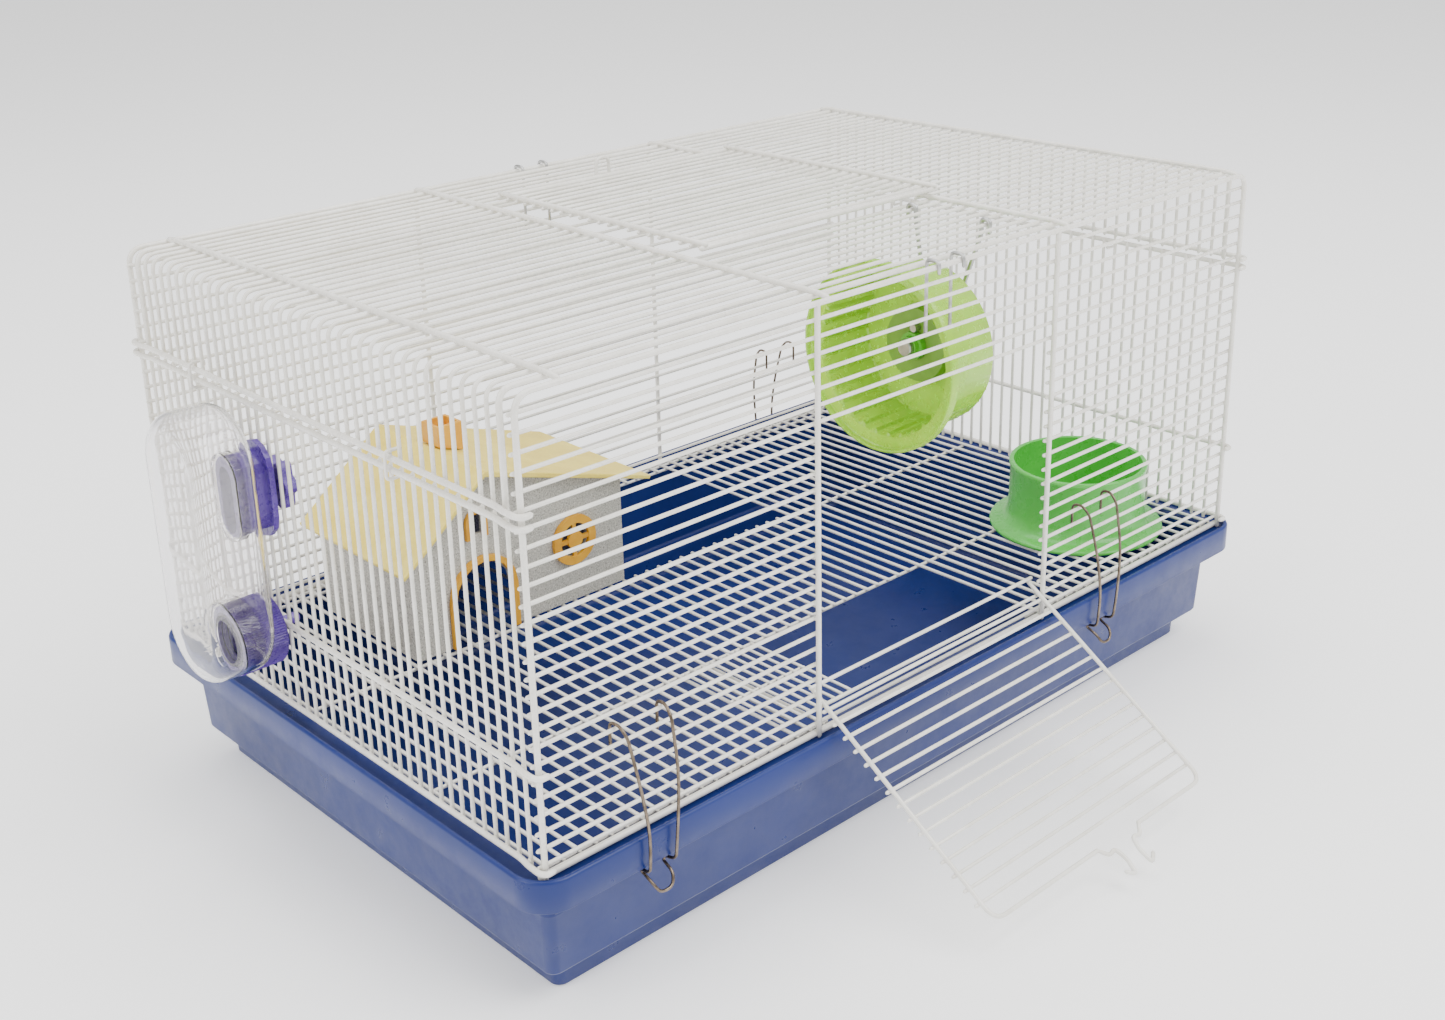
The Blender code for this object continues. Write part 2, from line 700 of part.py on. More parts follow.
def add_wheel_hanger(metal):
    """A bent wire behind the closed side: it hooks over two roof wires and cradles the axle."""
    x = WHEEL_BACK_X + 0.0085
    wire = 0.0028
    cradle = AXLE_RADIUS + wire / 2 + 0.0008
    front_wire = SIDE_MARGIN + 3 * SIDE_PITCH
    back_wire = SIDE_MARGIN + 9 * SIDE_PITCH
    gap = 0.0030
    points = (
        (x, front_wire - gap, TOP - 0.004),
        (x, front_wire - gap, TOP + 0.0031),
        (x, front_wire + gap, TOP + 0.0031),
        (x, front_wire + gap, TOP - 0.006),
        (x, WHEEL_Y - cradle, WHEEL_Z + 0.003),
        (x, WHEEL_Y - cradle, WHEEL_Z - 0.0015),
        (x, WHEEL_Y - 0.0036, WHEEL_Z - 0.0054),
        (x, WHEEL_Y, WHEEL_Z - cradle),
        (x, WHEEL_Y + 0.0036, WHEEL_Z - 0.0054),
        (x, WHEEL_Y + cradle, WHEEL_Z - 0.0015),
        (x, WHEEL_Y + cradle, WHEEL_Z + 0.003),
        (x, back_wire - gap, TOP - 0.006),
        (x, back_wire - gap, TOP + 0.0031),
        (x, back_wire + gap, TOP + 0.0031),
        (x, back_wire + gap, TOP - 0.004),
    )
    add_bent_wire("wheel_hanger", points, wire, metal)


# Bowl


def add_bowl(material):
    floor = FLOOR_Z + WIRE / 2 + GAP
    wall = 0.0022
    profile = (
        (floor + 0.0040, 0),
        (floor + 0.0040, BOWL_CUP - 0.007),
        (floor + 0.0022, BOWL_CUP - 0.002),
        (floor, BOWL_CUP + 0.004),
        (floor, BOWL_FLANGE - 0.001),
        (floor + 0.0012, BOWL_FLANGE),
        (floor + 0.0030, BOWL_FLANGE - 0.001),
        (floor + 0.0044, BOWL_CUP + 0.0055),
        (floor + 0.0085, BOWL_CUP + 0.0015),
        (BOWL_HEIGHT - 0.004, BOWL_CUP),
        (BOWL_HEIGHT - 0.001, BOWL_CUP + 0.0010),
        (BOWL_HEIGHT, BOWL_CUP),
        (BOWL_HEIGHT - 0.0008, BOWL_CUP - wall),
        (floor + 0.0105, BOWL_CUP - wall - 0.0010),
        (floor + 0.0064, BOWL_CUP - 0.0080),
        (floor + 0.0064, 0),
    )
    centre = (*BOWL_CENTRE, 0.0)
    add_object("food_bowl", turned_mesh("food_bowl", profile, centre, Z, 32), material, (*BOWL_CENTRE, floor))


# House


def house_outline(inset, base):
    """The walls' outline in X and Z, counter-clockwise, with a low left eave and a long right slope."""
    left, right = HOUSE_X[0] + inset, HOUSE_X[1] - inset
    apex = (HOUSE_APEX[0], HOUSE_APEX[1] - inset)
    drop = inset * 0.9
    return [(left, base), (right, base), (right, HOUSE_RIGHT_EAVE - drop), apex, (left, HOUSE_LEFT_EAVE - drop)]


def arch_outline(x, half, base, height):
    return [(x - half, base), (x + half, base)] + arc((x, height - half), half, 0, 180, 8)


def add_house_body(material):
    base = FLOOR_Z + WIRE / 2 + GAP
    body = add_object("house_body", prism_mesh("house_body", house_outline(0, base), *HOUSE_Y, along_y), material,
                      (HOUSE_X[0], HOUSE_Y[0], base))
    inside = (HOUSE_Y[0] + HOUSE_WALL, HOUSE_Y[1] - HOUSE_WALL)
    cuts = (
        ("house_inside", house_outline(HOUSE_WALL, base - 0.004), inside),
        ("house_door_cut", arch_outline(0.1255, 0.0205, base - 0.005, 0.050), (HOUSE_Y[0] - 0.01, HOUSE_Y[0] + 0.01)),
        ("house_ring_cut", arc((0.195, 0.042), 0.0110, 0, 345, 23), (HOUSE_Y[0] - 0.01, HOUSE_Y[0] + 0.01)),
        ("house_gable_cut", arch_outline(0.123, 0.0050, 0.068, 0.082), (HOUSE_Y[0] - 0.01, HOUSE_Y[0] + 0.01)),
    )
    for name, outline, span in cuts:
        cutter = add_cutter(name, prism_mesh(name, outline, *span, along_y), body.location)
        boolean(body, cutter, "DIFFERENCE")


def roof_profile():
    """The folded roof sheet in X and Z: its underside from the left eave over the ridge, then its top back."""
    apex_x, under_apex = HOUSE_APEX[0], HOUSE_APEX[1] + 0.0016
    return [
        (ROOF_LEFT_X + 0.001, 0.0581),
        (apex_x, under_apex),
        (ROOF_RIGHT_X - 0.001, 0.0671),
        (ROOF_RIGHT_X, ROOF_EAVE_TOP_Z),
        (apex_x, ROOF_RIDGE_Z),
        (ROOF_LEFT_X, 0.0605),
    ]


def right_slope_z(x):
    """Height of the right slope's upper face."""
    run = ROOF_RIGHT_X - HOUSE_APEX[0]
    return ROOF_RIDGE_Z - (ROOF_RIDGE_Z - ROOF_EAVE_TOP_Z) * (x - HOUSE_APEX[0]) / run


def add_house_roof(roof_material, chimney_material):
    span = (HOUSE_Y[0] - 0.008, HOUSE_Y[1] + 0.007)
    pivot = (HOUSE_APEX[0], HOUSE_Y[0], HOUSE_APEX[1])
    add_object("house_roof", prism_mesh("house_roof", roof_profile(), *span, along_y), roof_material, pivot)
    x, y, half = 0.140, 0.270, 0.009
    top = ROOF_RIDGE_Z + 0.0130
    left, right = x - half, x + half
    lift = 2 * GAP
    outline = [(left, right_slope_z(left) + lift), (right, right_slope_z(right) + lift), (right, top), (left, top)]
    chimney = add_object(
        "house_chimney",
        prism_mesh("house_chimney", outline, y - half, y + half, along_y),
        chimney_material,
        pivot,
    )
    bore = half - 0.0022
    flue = boxes_mesh("chimney_flue", [((x - bore, y - bore, top - 0.007), (x + bore, y + bore, top + 0.004))])
    boolean(chimney, add_cutter("chimney_flue", flue, pivot), "DIFFERENCE")


def add_arch_frame(name, x, half, base, height, band, material):
    """An arched frame on the front wall, open at its foot."""
    outer = [(x + half, base)] + arc((x, height - half), half, 0, 180, 8) + [(x - half, base)]
    inner_half = half - band
    inner = [(x - inner_half, base)] + arc((x, height - half), inner_half, 180, 0, 8) + [(x + inner_half, base)]
    span = (HOUSE_Y[0] - 0.0030, HOUSE_Y[0] - GAP)
    add_object(name, prism_mesh(name, outer + inner, *span, along_y), material, (HOUSE_X[0], HOUSE_Y[0], base))


def add_ring_window(material):
    """A round frame with four short spokes and a middle disc."""
    centre_x, centre_z = 0.195, 0.042
    span = (HOUSE_Y[0] - 0.0028, HOUSE_Y[0] - GAP)
    pivot = (HOUSE_X[0], HOUSE_Y[0], centre_z)
    profile = ((span[0], 0.0110), (span[0], 0.0165), (span[1], 0.0165), (span[1], 0.0110))
    ring = turned_mesh("house_ring_window", profile, (centre_x, 0.0, centre_z), Y, 24, closed=True)
    window = add_object("house_ring_window", ring, material, pivot)
    arm, half, sheet = 0.0120, 0.0014, (span[0] + 0.0006, span[1] - 0.0002)
    bars = (
        ("ring_window_bar", ((centre_x - arm, sheet[0], centre_z - half), (centre_x + arm, sheet[1], centre_z + half))),
        ("ring_window_post", ((centre_x - half, sheet[0] + 0.0002, centre_z - arm),
                              (centre_x + half, sheet[1] - 0.0002, centre_z + arm))),
    )
    for name, bar in bars:
        boolean(window, add_cutter(name, boxes_mesh(name, [bar]), pivot), "UNION")
    disc_profile = ((span[0] - 0.0002, 0), (span[0] - 0.0002, 0.0058), (span[1] - 0.0003, 0.0058), (span[1] - 0.0003, 0))
    disc = turned_mesh("ring_window_disc", disc_profile, (centre_x, 0.0, centre_z), Y, 14)
    boolean(window, add_cutter("ring_window_disc", disc, pivot), "UNION")


def add_house(walls, roof, amber):
    base = FLOOR_Z + WIRE / 2 + 2 * GAP
    add_house_body(walls)
    add_house_roof(roof, amber)
    add_arch_frame("house_door_frame", 0.1255, 0.0245, base, 0.054, 0.0040, amber)
    add_arch_frame("house_gable_frame", 0.123, 0.0078, 0.066, 0.0845, 0.0028, amber)
    add_ring_window(amber)


# Bottle


def add_bottle(clear):
    middle = sum(BOTTLE_Z) / 2
    half_height = (BOTTLE_Z[1] - BOTTLE_Z[0]) / 2
    pivot = (BOTTLE_X[1], HOLDER_Y, HOLDER_Z)
    outline = stadium((BOTTLE_Y, middle), BOTTLE_HALF_WIDTH, half_height)
    bottle = add_object("bottle", prism_mesh("bottle", outline, *BOTTLE_X, along_x, smooth=True), clear, pivot)
    wall = BOTTLE_WALL
    void_outline = stadium((BOTTLE_Y, middle), BOTTLE_HALF_WIDTH - wall, half_height - wall)
    void_span = (BOTTLE_X[0] + wall, BOTTLE_X[1] - wall)
    void = add_cutter("bottle_void", prism_mesh("bottle_void", void_outline, *void_span, along_x), pivot)
    sleeve_outline = stadium((HOLDER_Y, HOLDER_Z), 0.0130, 0.0250, 6)
    beyond = (BOTTLE_X[0] - 0.01, BOTTLE_X[1] + 0.01)
    sleeve_span = (HOLDER_FRONT_X - 0.0026, beyond[1])
    sleeve = add_cutter("bottle_sleeve", prism_mesh("bottle_sleeve", sleeve_outline, *sleeve_span, along_x), pivot)
    boolean(void, sleeve, "DIFFERENCE")
    axis_point = (0.0, CAP_Y, CAP_Z)
    seat = CAP_FRONT_X - 0.0008
    collar_radius = CAP_RADIUS + 0.0008
    collar_profile = ((seat - wall, 0), (seat - wall, collar_radius + wall), (0.0, collar_radius + wall), (0.0, 0))
    collar = turned_mesh("bottle_collar", collar_profile, axis_point, X, 32)
    boolean(void, add_cutter("bottle_collar", collar, pivot), "DIFFERENCE")
    boolean(bottle, void, "DIFFERENCE")
    eye_outline = stadium((HOLDER_Y, HOLDER_Z), 0.0114, 0.0234, 6)
    eye_span = (HOLDER_FRONT_X - 0.0008, beyond[1])
    eye = add_cutter("bottle_eye", prism_mesh("bottle_eye", eye_outline, *eye_span, along_x), pivot)
    boolean(bottle, eye, "DIFFERENCE")
    room_profile = ((seat, 0), (seat, collar_radius), (0.0, collar_radius), (0.0, 0))
    room = turned_mesh("bottle_cap_room", room_profile, axis_point, X, 32)
    boolean(bottle, add_cutter("bottle_cap_room", room, pivot), "DIFFERENCE")
    neck_profile = ((seat - 0.0008, 0.0125), (seat - 0.0008, 0.0160), (-0.0085, 0.0160), (-0.0085, 0.0125))
    neck = turned_mesh("bottle_neck", neck_profile, axis_point, X, 24, closed=True)
    boolean(bottle, add_cutter("bottle_neck", neck, pivot), "UNION")
    mouth_profile = ((seat - 0.006, 0), (seat - 0.006, 0.0127), (0.0, 0.0127), (0.0, 0))
    mouth = turned_mesh("bottle_mouth", mouth_profile, axis_point, X, 24)
    boolean(bottle, add_cutter("bottle_mouth", mouth, pivot), "DIFFERENCE")


def add_cap(purple, steel):
    """A ribbed cap over the neck, with the drinking spout through it and the ball in the spout's end."""
    axis_point = (0.0, CAP_Y, CAP_Z)
    pivot = (BOTTLE_X[1], CAP_Y, CAP_Z)
    bore = 0.0034
    profile = (
        (CAP_FRONT_X, CAP_RADIUS),
        (-0.0052, CAP_RADIUS),
        (-0.0042, CAP_RADIUS - 0.0012),
        (-0.0042, bore),
        (-0.0068, bore),
        (-0.0068, 0.0164),
        (CAP_FRONT_X, 0.0164),
    )

    def ribs(index, step):
        return -0.0007 * (step % 2) if index in (0, 1) else 0.0

    cap = turned_mesh("bottle_cap", profile, axis_point, X, 36, closed=True, ripple=ribs)
    add_object("bottle_cap", cap, purple, pivot)
    inner, outer = 0.0020, bore - GAP
    spout_profile = (
        (-0.0125, inner),
        (-0.0125, 0.0060),
        (-0.0071, 0.0060),
        (-0.0071, outer),
        (0.0110, outer),
        (0.0125, outer - 0.0006),
        (0.0125, 0.0013),
        (0.0105, 0.0015),
        (0.0095, inner),
    )
    spout = turned_mesh("bottle_spout", spout_profile, axis_point, X, 14, closed=True)
    add_object("bottle_spout", spout, purple, pivot)
    radius = 0.0017
    points = arc((0.0088, 0.0), radius, 180, 0, 6)
    ball_profile = [(x, max(r, 0.0) if 0 < i < len(points) - 1 else 0) for i, (x, r) in enumerate(points)]
    ball = turned_mesh("spout_ball", ball_profile, axis_point, X, 10)
    add_object("spout_ball", ball, steel, (0.0088, CAP_Y, CAP_Z))


def add_holder(purple):
    """The hanger block through the bottle's eye, its plate on the wires and its stem between two of them."""
    pivot = (0.0, HOLDER_Y, HOLDER_Z)
    block_span = (HOLDER_FRONT_X, -0.0050)
    centre = (HOLDER_Y, HOLDER_Z)
    block = prism_mesh("bottle_holder", stadium(centre, 0.0108, 0.0228, 6), *block_span, along_x, smooth=True)
    holder = add_object("bottle_holder", block, purple, pivot)
    plate_span = (-0.0068, -0.0036)
    plate = prism_mesh("holder_plate", stadium(centre, 0.0145, 0.0275, 6), *plate_span, along_x)
    boolean(holder, add_cutter("holder_plate", plate, pivot), "UNION")
    stem_radius = 0.0031
    stem_profile = ((-0.0060, 0), (-0.0060, stem_radius), (0.0130, stem_radius), (0.0130, 0))
    stem = turned_mesh("holder_stem", stem_profile, (0.0, HOLDER_Y, HOLDER_Z), X, 14)
    boolean(holder, add_cutter("holder_stem", stem, pivot), "UNION")
    slot_outline = stadium((HOLDER_Y + 0.001, HOLDER_Z - 0.002), 0.0062, 0.0190, 5)
    slot = prism_mesh("holder_slot", slot_outline, block_span[0] - 0.004, -0.0105, along_x)
    boolean(holder, add_cutter("holder_slot", slot, pivot), "DIFFERENCE")
    nut_profile = ((0.0020, stem_radius + GAP), (0.0020, 0.0150), (0.0100, 0.0150), (0.0100, stem_radius + GAP))

    def lobes(index, step):
        return -0.0042 * math.sin(math.pi * step / 6) ** 2 if index in (1, 2) else 0.0

    nut = turned_mesh("holder_nut", nut_profile, (0.0, HOLDER_Y, HOLDER_Z), X, 36, closed=True, ripple=lobes)
    add_object("holder_nut", nut, purple, pivot)


def build_cage():
    white = make_material("white_wire", (0.83, 0.81, 0.76), 0.30)
    blue = make_material("blue_tray", (0.035, 0.065, 0.330), 0.34)
    bronze = make_material("clip_wire", (0.17, 0.13, 0.10), 0.30, 1.0)
    grey = make_material("grey_metal", (0.45, 0.45, 0.44), 0.38, 1.0)
    lime = make_material("lime_wheel", (0.45, 0.78, 0.05), 0.28)
    boss_green = make_material("boss_green", (0.16, 0.50, 0.06), 0.32)
    olive = make_material("hub_olive", (0.20, 0.36, 0.05), 0.36)
    bowl_green = make_material("bowl_green", (0.09, 0.48, 0.08), 0.30)
    walls = make_material("speckled_grey", (0.46, 0.45, 0.42), 0.62)
    yellow = make_material("yellow_roof", (0.88, 0.74, 0.25), 0.50)
    amber = make_material("amber_trim", (0.78, 0.40, 0.04), 0.42)
    clear = make_material("clear_bottle", (0.86, 0.84, 0.85), 0.08, 0.0, 0.35)
    purple = make_material("purple_plastic", (0.11, 0.06, 0.35), 0.30)
    steel = make_material("bright_steel", (0.66, 0.67, 0.69), 0.15, 1.0)
    add_tray(blue)
    add_front_panel(white)
    add_back_panel(white)
    add_end_panel("left_panel", 0.0, -1, white)
    add_end_panel("right_panel", LENGTH, 1, white)
    add_roof(white)
    add_roof_drop("roof_drop_left", 0.0, -1, white)
    add_roof_drop("roof_drop_right", LENGTH, 1, white)
    add_roof_hatch(white)
    add_front_door(white)
    add_floor(white)
    add_ramp(white)
    add_clips(bronze)
    add_seam_ties(white)
    add_roof_hooks(grey)
    add_wheel(lime, boss_green, olive, grey)
    add_bowl(bowl_green)
    add_house(walls, yellow, amber)
    add_bottle(clear)
    add_cap(purple, steel)
    add_holder(purple)


clear_scene()
CORNER = make_corner()
build_cage()
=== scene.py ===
"""Looks of the wire-topped hamster cage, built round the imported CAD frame. Lengths are in metres."""

import math
import random

import bmesh
import bpy
from mathutils import Matrix, Vector


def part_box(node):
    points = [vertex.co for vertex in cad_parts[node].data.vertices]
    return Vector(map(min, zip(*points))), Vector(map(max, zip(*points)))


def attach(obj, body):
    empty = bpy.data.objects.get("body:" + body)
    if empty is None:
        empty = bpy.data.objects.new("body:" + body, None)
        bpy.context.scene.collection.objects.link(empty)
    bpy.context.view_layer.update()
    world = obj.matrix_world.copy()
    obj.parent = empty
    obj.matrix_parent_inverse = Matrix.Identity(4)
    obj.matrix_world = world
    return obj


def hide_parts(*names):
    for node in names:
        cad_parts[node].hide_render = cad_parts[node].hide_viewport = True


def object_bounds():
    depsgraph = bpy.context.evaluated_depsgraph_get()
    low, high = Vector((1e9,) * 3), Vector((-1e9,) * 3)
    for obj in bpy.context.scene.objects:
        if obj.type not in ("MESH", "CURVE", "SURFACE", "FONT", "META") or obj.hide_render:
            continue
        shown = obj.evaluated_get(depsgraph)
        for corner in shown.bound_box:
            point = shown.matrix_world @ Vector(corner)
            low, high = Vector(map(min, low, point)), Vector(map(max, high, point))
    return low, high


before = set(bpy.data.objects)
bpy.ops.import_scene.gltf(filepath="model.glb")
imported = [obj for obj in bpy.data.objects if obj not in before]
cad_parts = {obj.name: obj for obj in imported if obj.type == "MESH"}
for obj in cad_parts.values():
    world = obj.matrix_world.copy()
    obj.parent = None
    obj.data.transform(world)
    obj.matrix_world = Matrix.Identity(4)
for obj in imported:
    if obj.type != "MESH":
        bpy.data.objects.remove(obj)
cad_low, cad_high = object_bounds()

# The cage's own frame: X along the front from its left corner, Y to the back, Z up from the tray's rim.
LENGTH = 0.578
DEPTH = 0.360
TOP = 0.240
TRAY_DEPTH = 0.085
TRAY_OVERHANG = 0.012
TRAY_CORNER = 0.020
TRAY_LEAST_CORNER = 0.006
TRAY_CORNER_STEPS = 12
tray_low, tray_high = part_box("tray")
CORNER = Vector(((tray_low.x + tray_high.x - LENGTH) / 2, (tray_low.y + tray_high.y - DEPTH) / 2, tray_high.z))

# Wires
WIRE = 0.0011
HEAVY = 0.0016
LAYER = 0.0022
RAIL = 0.0019
POST = HEAVY * 0.94
FRONT_ROWS = 26
FRONT_PITCH = 0.00911
FRONT_FIRST = 0.0031
SIDE_MARGIN = 0.0086
SIDE_COUNT = 38
SIDE_PITCH = (DEPTH - 2 * SIDE_MARGIN) / (SIDE_COUNT - 1)
LOW_BAR_Z = 0.054
PANEL_TOP_Z = 0.179
DROP_BOTTOM_Z = 0.185
BEND = 0.008
FRAME_BEND = 0.010
POST_FOOT_Z = -0.003
RAIL_Z = -0.0022
OVERRUN = 0.0018
WAVER = 0.0001
WIRE_SMOOTH = 60
POSTS_X = (0.1864, 0.3825)
ROOF_BARS_X = (0.025, 0.1947, 0.3918, 0.5686)
HATCH_X = (0.203, 0.396)
HATCH_Y = (0.100, 0.283)
HATCH_OPENING_Y = (0.104, 0.279)
HATCH_Z = TOP + 0.0065
HATCH_WIRES = 22
SILL_ROW = 1
LINTEL_ROW = 19

# Weld beads: half sizes along X, Y and Z, and how far they stand off the wire's centre
FRONT_BEAD = (0.0017, 0.0010, 0.0015)
END_BEAD = (0.0010, 0.0015, 0.0017)
ROOF_BEAD = (0.0017, 0.0015, 0.0010)
BEAD_LIFT = 0.0009

# Door
DOOR_X = (0.1893, 0.3797)
DOOR_OFFSET = 0.0031
DOOR_LENGTH = 0.143
DOOR_TAIL = 0.010
DOOR_FIRST = 0.0040
DOOR_RUNGS = 15
DOOR_OPEN = math.radians(123)
HINGE_Z = FRONT_FIRST + SILL_ROW * FRONT_PITCH

# Floor
FLOOR_Z = -0.0012
FLOOR_PITCH = 0.010
FLOOR_COUNT = 58
FRONT_CUTOUT = (0.200, 0.377, 0.100)
REAR_CUTOUT = (0.235, 0.377, 0.218, 0.348)

# Fittings
WHEEL_Y, WHEEL_Z = 0.070, 0.1656
WHEEL_FRONT_X, WHEEL_BACK_X = 0.3097, 0.357
WHEEL_RIM, WHEEL_DRUM = 0.0577, 0.0493
AXLE_RADIUS = 0.0040
BOWL_CENTRE = (0.510, 0.066)
BOWL_FLANGE, BOWL_CUP, BOWL_HEIGHT = 0.0580, 0.0450, 0.0463
BOTTLE_X = (-0.054, -0.0185)
BOTTLE_Y = 0.2285
BOTTLE_HALF_WIDTH = 0.0315
BOTTLE_Z = (0.034, 0.186)
HOLDER_Z = 0.134
HOLDER_Y = SIDE_MARGIN + 23.5 * SIDE_PITCH
CAP_Z = 0.048
CAP_FRONT_X = -0.0300
HOLDER_FRONT_X = -0.0235
CAP_Y = SIDE_MARGIN + 24.5 * SIDE_PITCH
CAP_RADIUS = 0.0205

X, Y, Z = Vector((1, 0, 0)), Vector((0, 1, 0)), Vector((0, 0, 1))
drift = random.Random(11)


# Node materials


def node_material(name):
    material = bpy.data.materials.new(name)
    material.use_nodes = True
    nodes = material.node_tree.nodes
    shader = nodes["Principled BSDF"]
    return material, nodes, material.node_tree.links, shader


def noise(nodes, links, coordinates, scale, detail=2.0, roughness=0.5):
    node = nodes.new("ShaderNodeTexNoise")
    node.inputs["Scale"].default_value = scale
    node.inputs["Detail"].default_value = detail
    node.inputs["Roughness"].default_value = roughness
    links.new(coordinates, node.inputs["Vector"])
    return node.outputs["Fac"]


def ramp(nodes, links, factor, stops):
    node = nodes.new("ShaderNodeValToRGB")
    elements = node.color_ramp.elements
    while len(elements) < len(stops):
        elements.new(0.5)
    for element, (position, color) in zip(elements, stops):
        element.position = position
        element.color = (*color, 1.0)
    links.new(factor, node.inputs["Fac"])
    return node.outputs["Color"]


def spread(nodes, links, factor, low, high):
    node = nodes.new("ShaderNodeMapRange")
    node.inputs["From Min"].default_value = 0.3
    node.inputs["From Max"].default_value = 0.7
    node.inputs["To Min"].default_value = low
    node.inputs["To Max"].default_value = high
    links.new(factor, node.inputs["Value"])
    return node.outputs["Result"]


def bump(nodes, links, height, distance, strength, under=None):
    node = nodes.new("ShaderNodeBump")
    node.inputs["Distance"].default_value = distance
    node.inputs["Strength"].default_value = strength
    links.new(height, node.inputs["Height"])
    if under is not None:
        links.new(under, node.inputs["Normal"])
    return node.outputs["Normal"]


def moulded(name, dark, light, rough, patch=28.0, grain=900.0, grain_height=0.00004,
            wave=60.0, wave_height=0.0002, **sockets):
    """Plastic, lacquer or metal with patches of tone, a fine grain and a slow waviness."""
    material, nodes, links, shader = node_material(name)
    coordinates = nodes.new("ShaderNodeTexCoord").outputs["Object"]
    patches = noise(nodes, links, coordinates, patch, 4.0, 0.6)
    links.new(ramp(nodes, links, patches, ((0.35, dark), (0.65, light))), shader.inputs["Base Color"])
    wear = noise(nodes, links, coordinates, patch * 6, 5.0, 0.65)
    links.new(spread(nodes, links, wear, *rough), shader.inputs["Roughness"])
    waves = bump(nodes, links, noise(nodes, links, coordinates, wave), wave_height, 0.6)
    fine = noise(nodes, links, coordinates, grain, 2.0)
    links.new(bump(nodes, links, fine, grain_height, 0.7, waves), shader.inputs["Normal"])
    for socket, value in sockets.items():
        shader.inputs[socket.replace("_", " ")].default_value = value
    return material


def speckled_walls():
    """Wood-fibre plastic: grey with fine dark and pale flecks and a slightly rough face."""
    material, nodes, links, shader = node_material("speckled_grey_look")
    coordinates = nodes.new("ShaderNodeTexCoord").outputs["Object"]
    flecks = noise(nodes, links, coordinates, 950.0, 2.0, 0.7)
    color = ramp(nodes, links, flecks, (
        (0.30, (0.16, 0.150, 0.13)), (0.43, (0.42, 0.405, 0.365)),
        (0.56, (0.52, 0.50, 0.455)), (0.72, (0.74, 0.72, 0.67))))
    links.new(color, shader.inputs["Base Color"])
    links.new(spread(nodes, links, flecks, 0.50, 0.72), shader.inputs["Roughness"])
    coarse = bump(nodes, links, noise(nodes, links, coordinates, 320.0, 3.0), 0.00025, 0.5)
    links.new(bump(nodes, links, flecks, 0.00012, 0.6, coarse), shader.inputs["Normal"])
    return material


def pebbled_roof():
    """Pale yellow plastic with a pebbled face."""
    material, nodes, links, shader = node_material("yellow_roof_look")
    coordinates = nodes.new("ShaderNodeTexCoord").outputs["Object"]
    pebbles = nodes.new("ShaderNodeTexVoronoi")
    pebbles.inputs["Scale"].default_value = 420.0
    links.new(coordinates, pebbles.inputs["Vector"])
    tone = noise(nodes, links, coordinates, 40.0, 4.0, 0.6)
    color = ramp(nodes, links, tone, ((0.35, (0.83, 0.64, 0.10)), (0.65, (0.93, 0.76, 0.17))))
    links.new(color, shader.inputs["Base Color"])
    links.new(spread(nodes, links, tone, 0.42, 0.58), shader.inputs["Roughness"])
    links.new(bump(nodes, links, pebbles.outputs["Distance"], 0.0004, 0.55), shader.inputs["Normal"])
    shader.inputs["Subsurface Weight"].default_value = 0.12
    shader.inputs["Subsurface Radius"].default_value = (0.004, 0.003, 0.001)
    return material


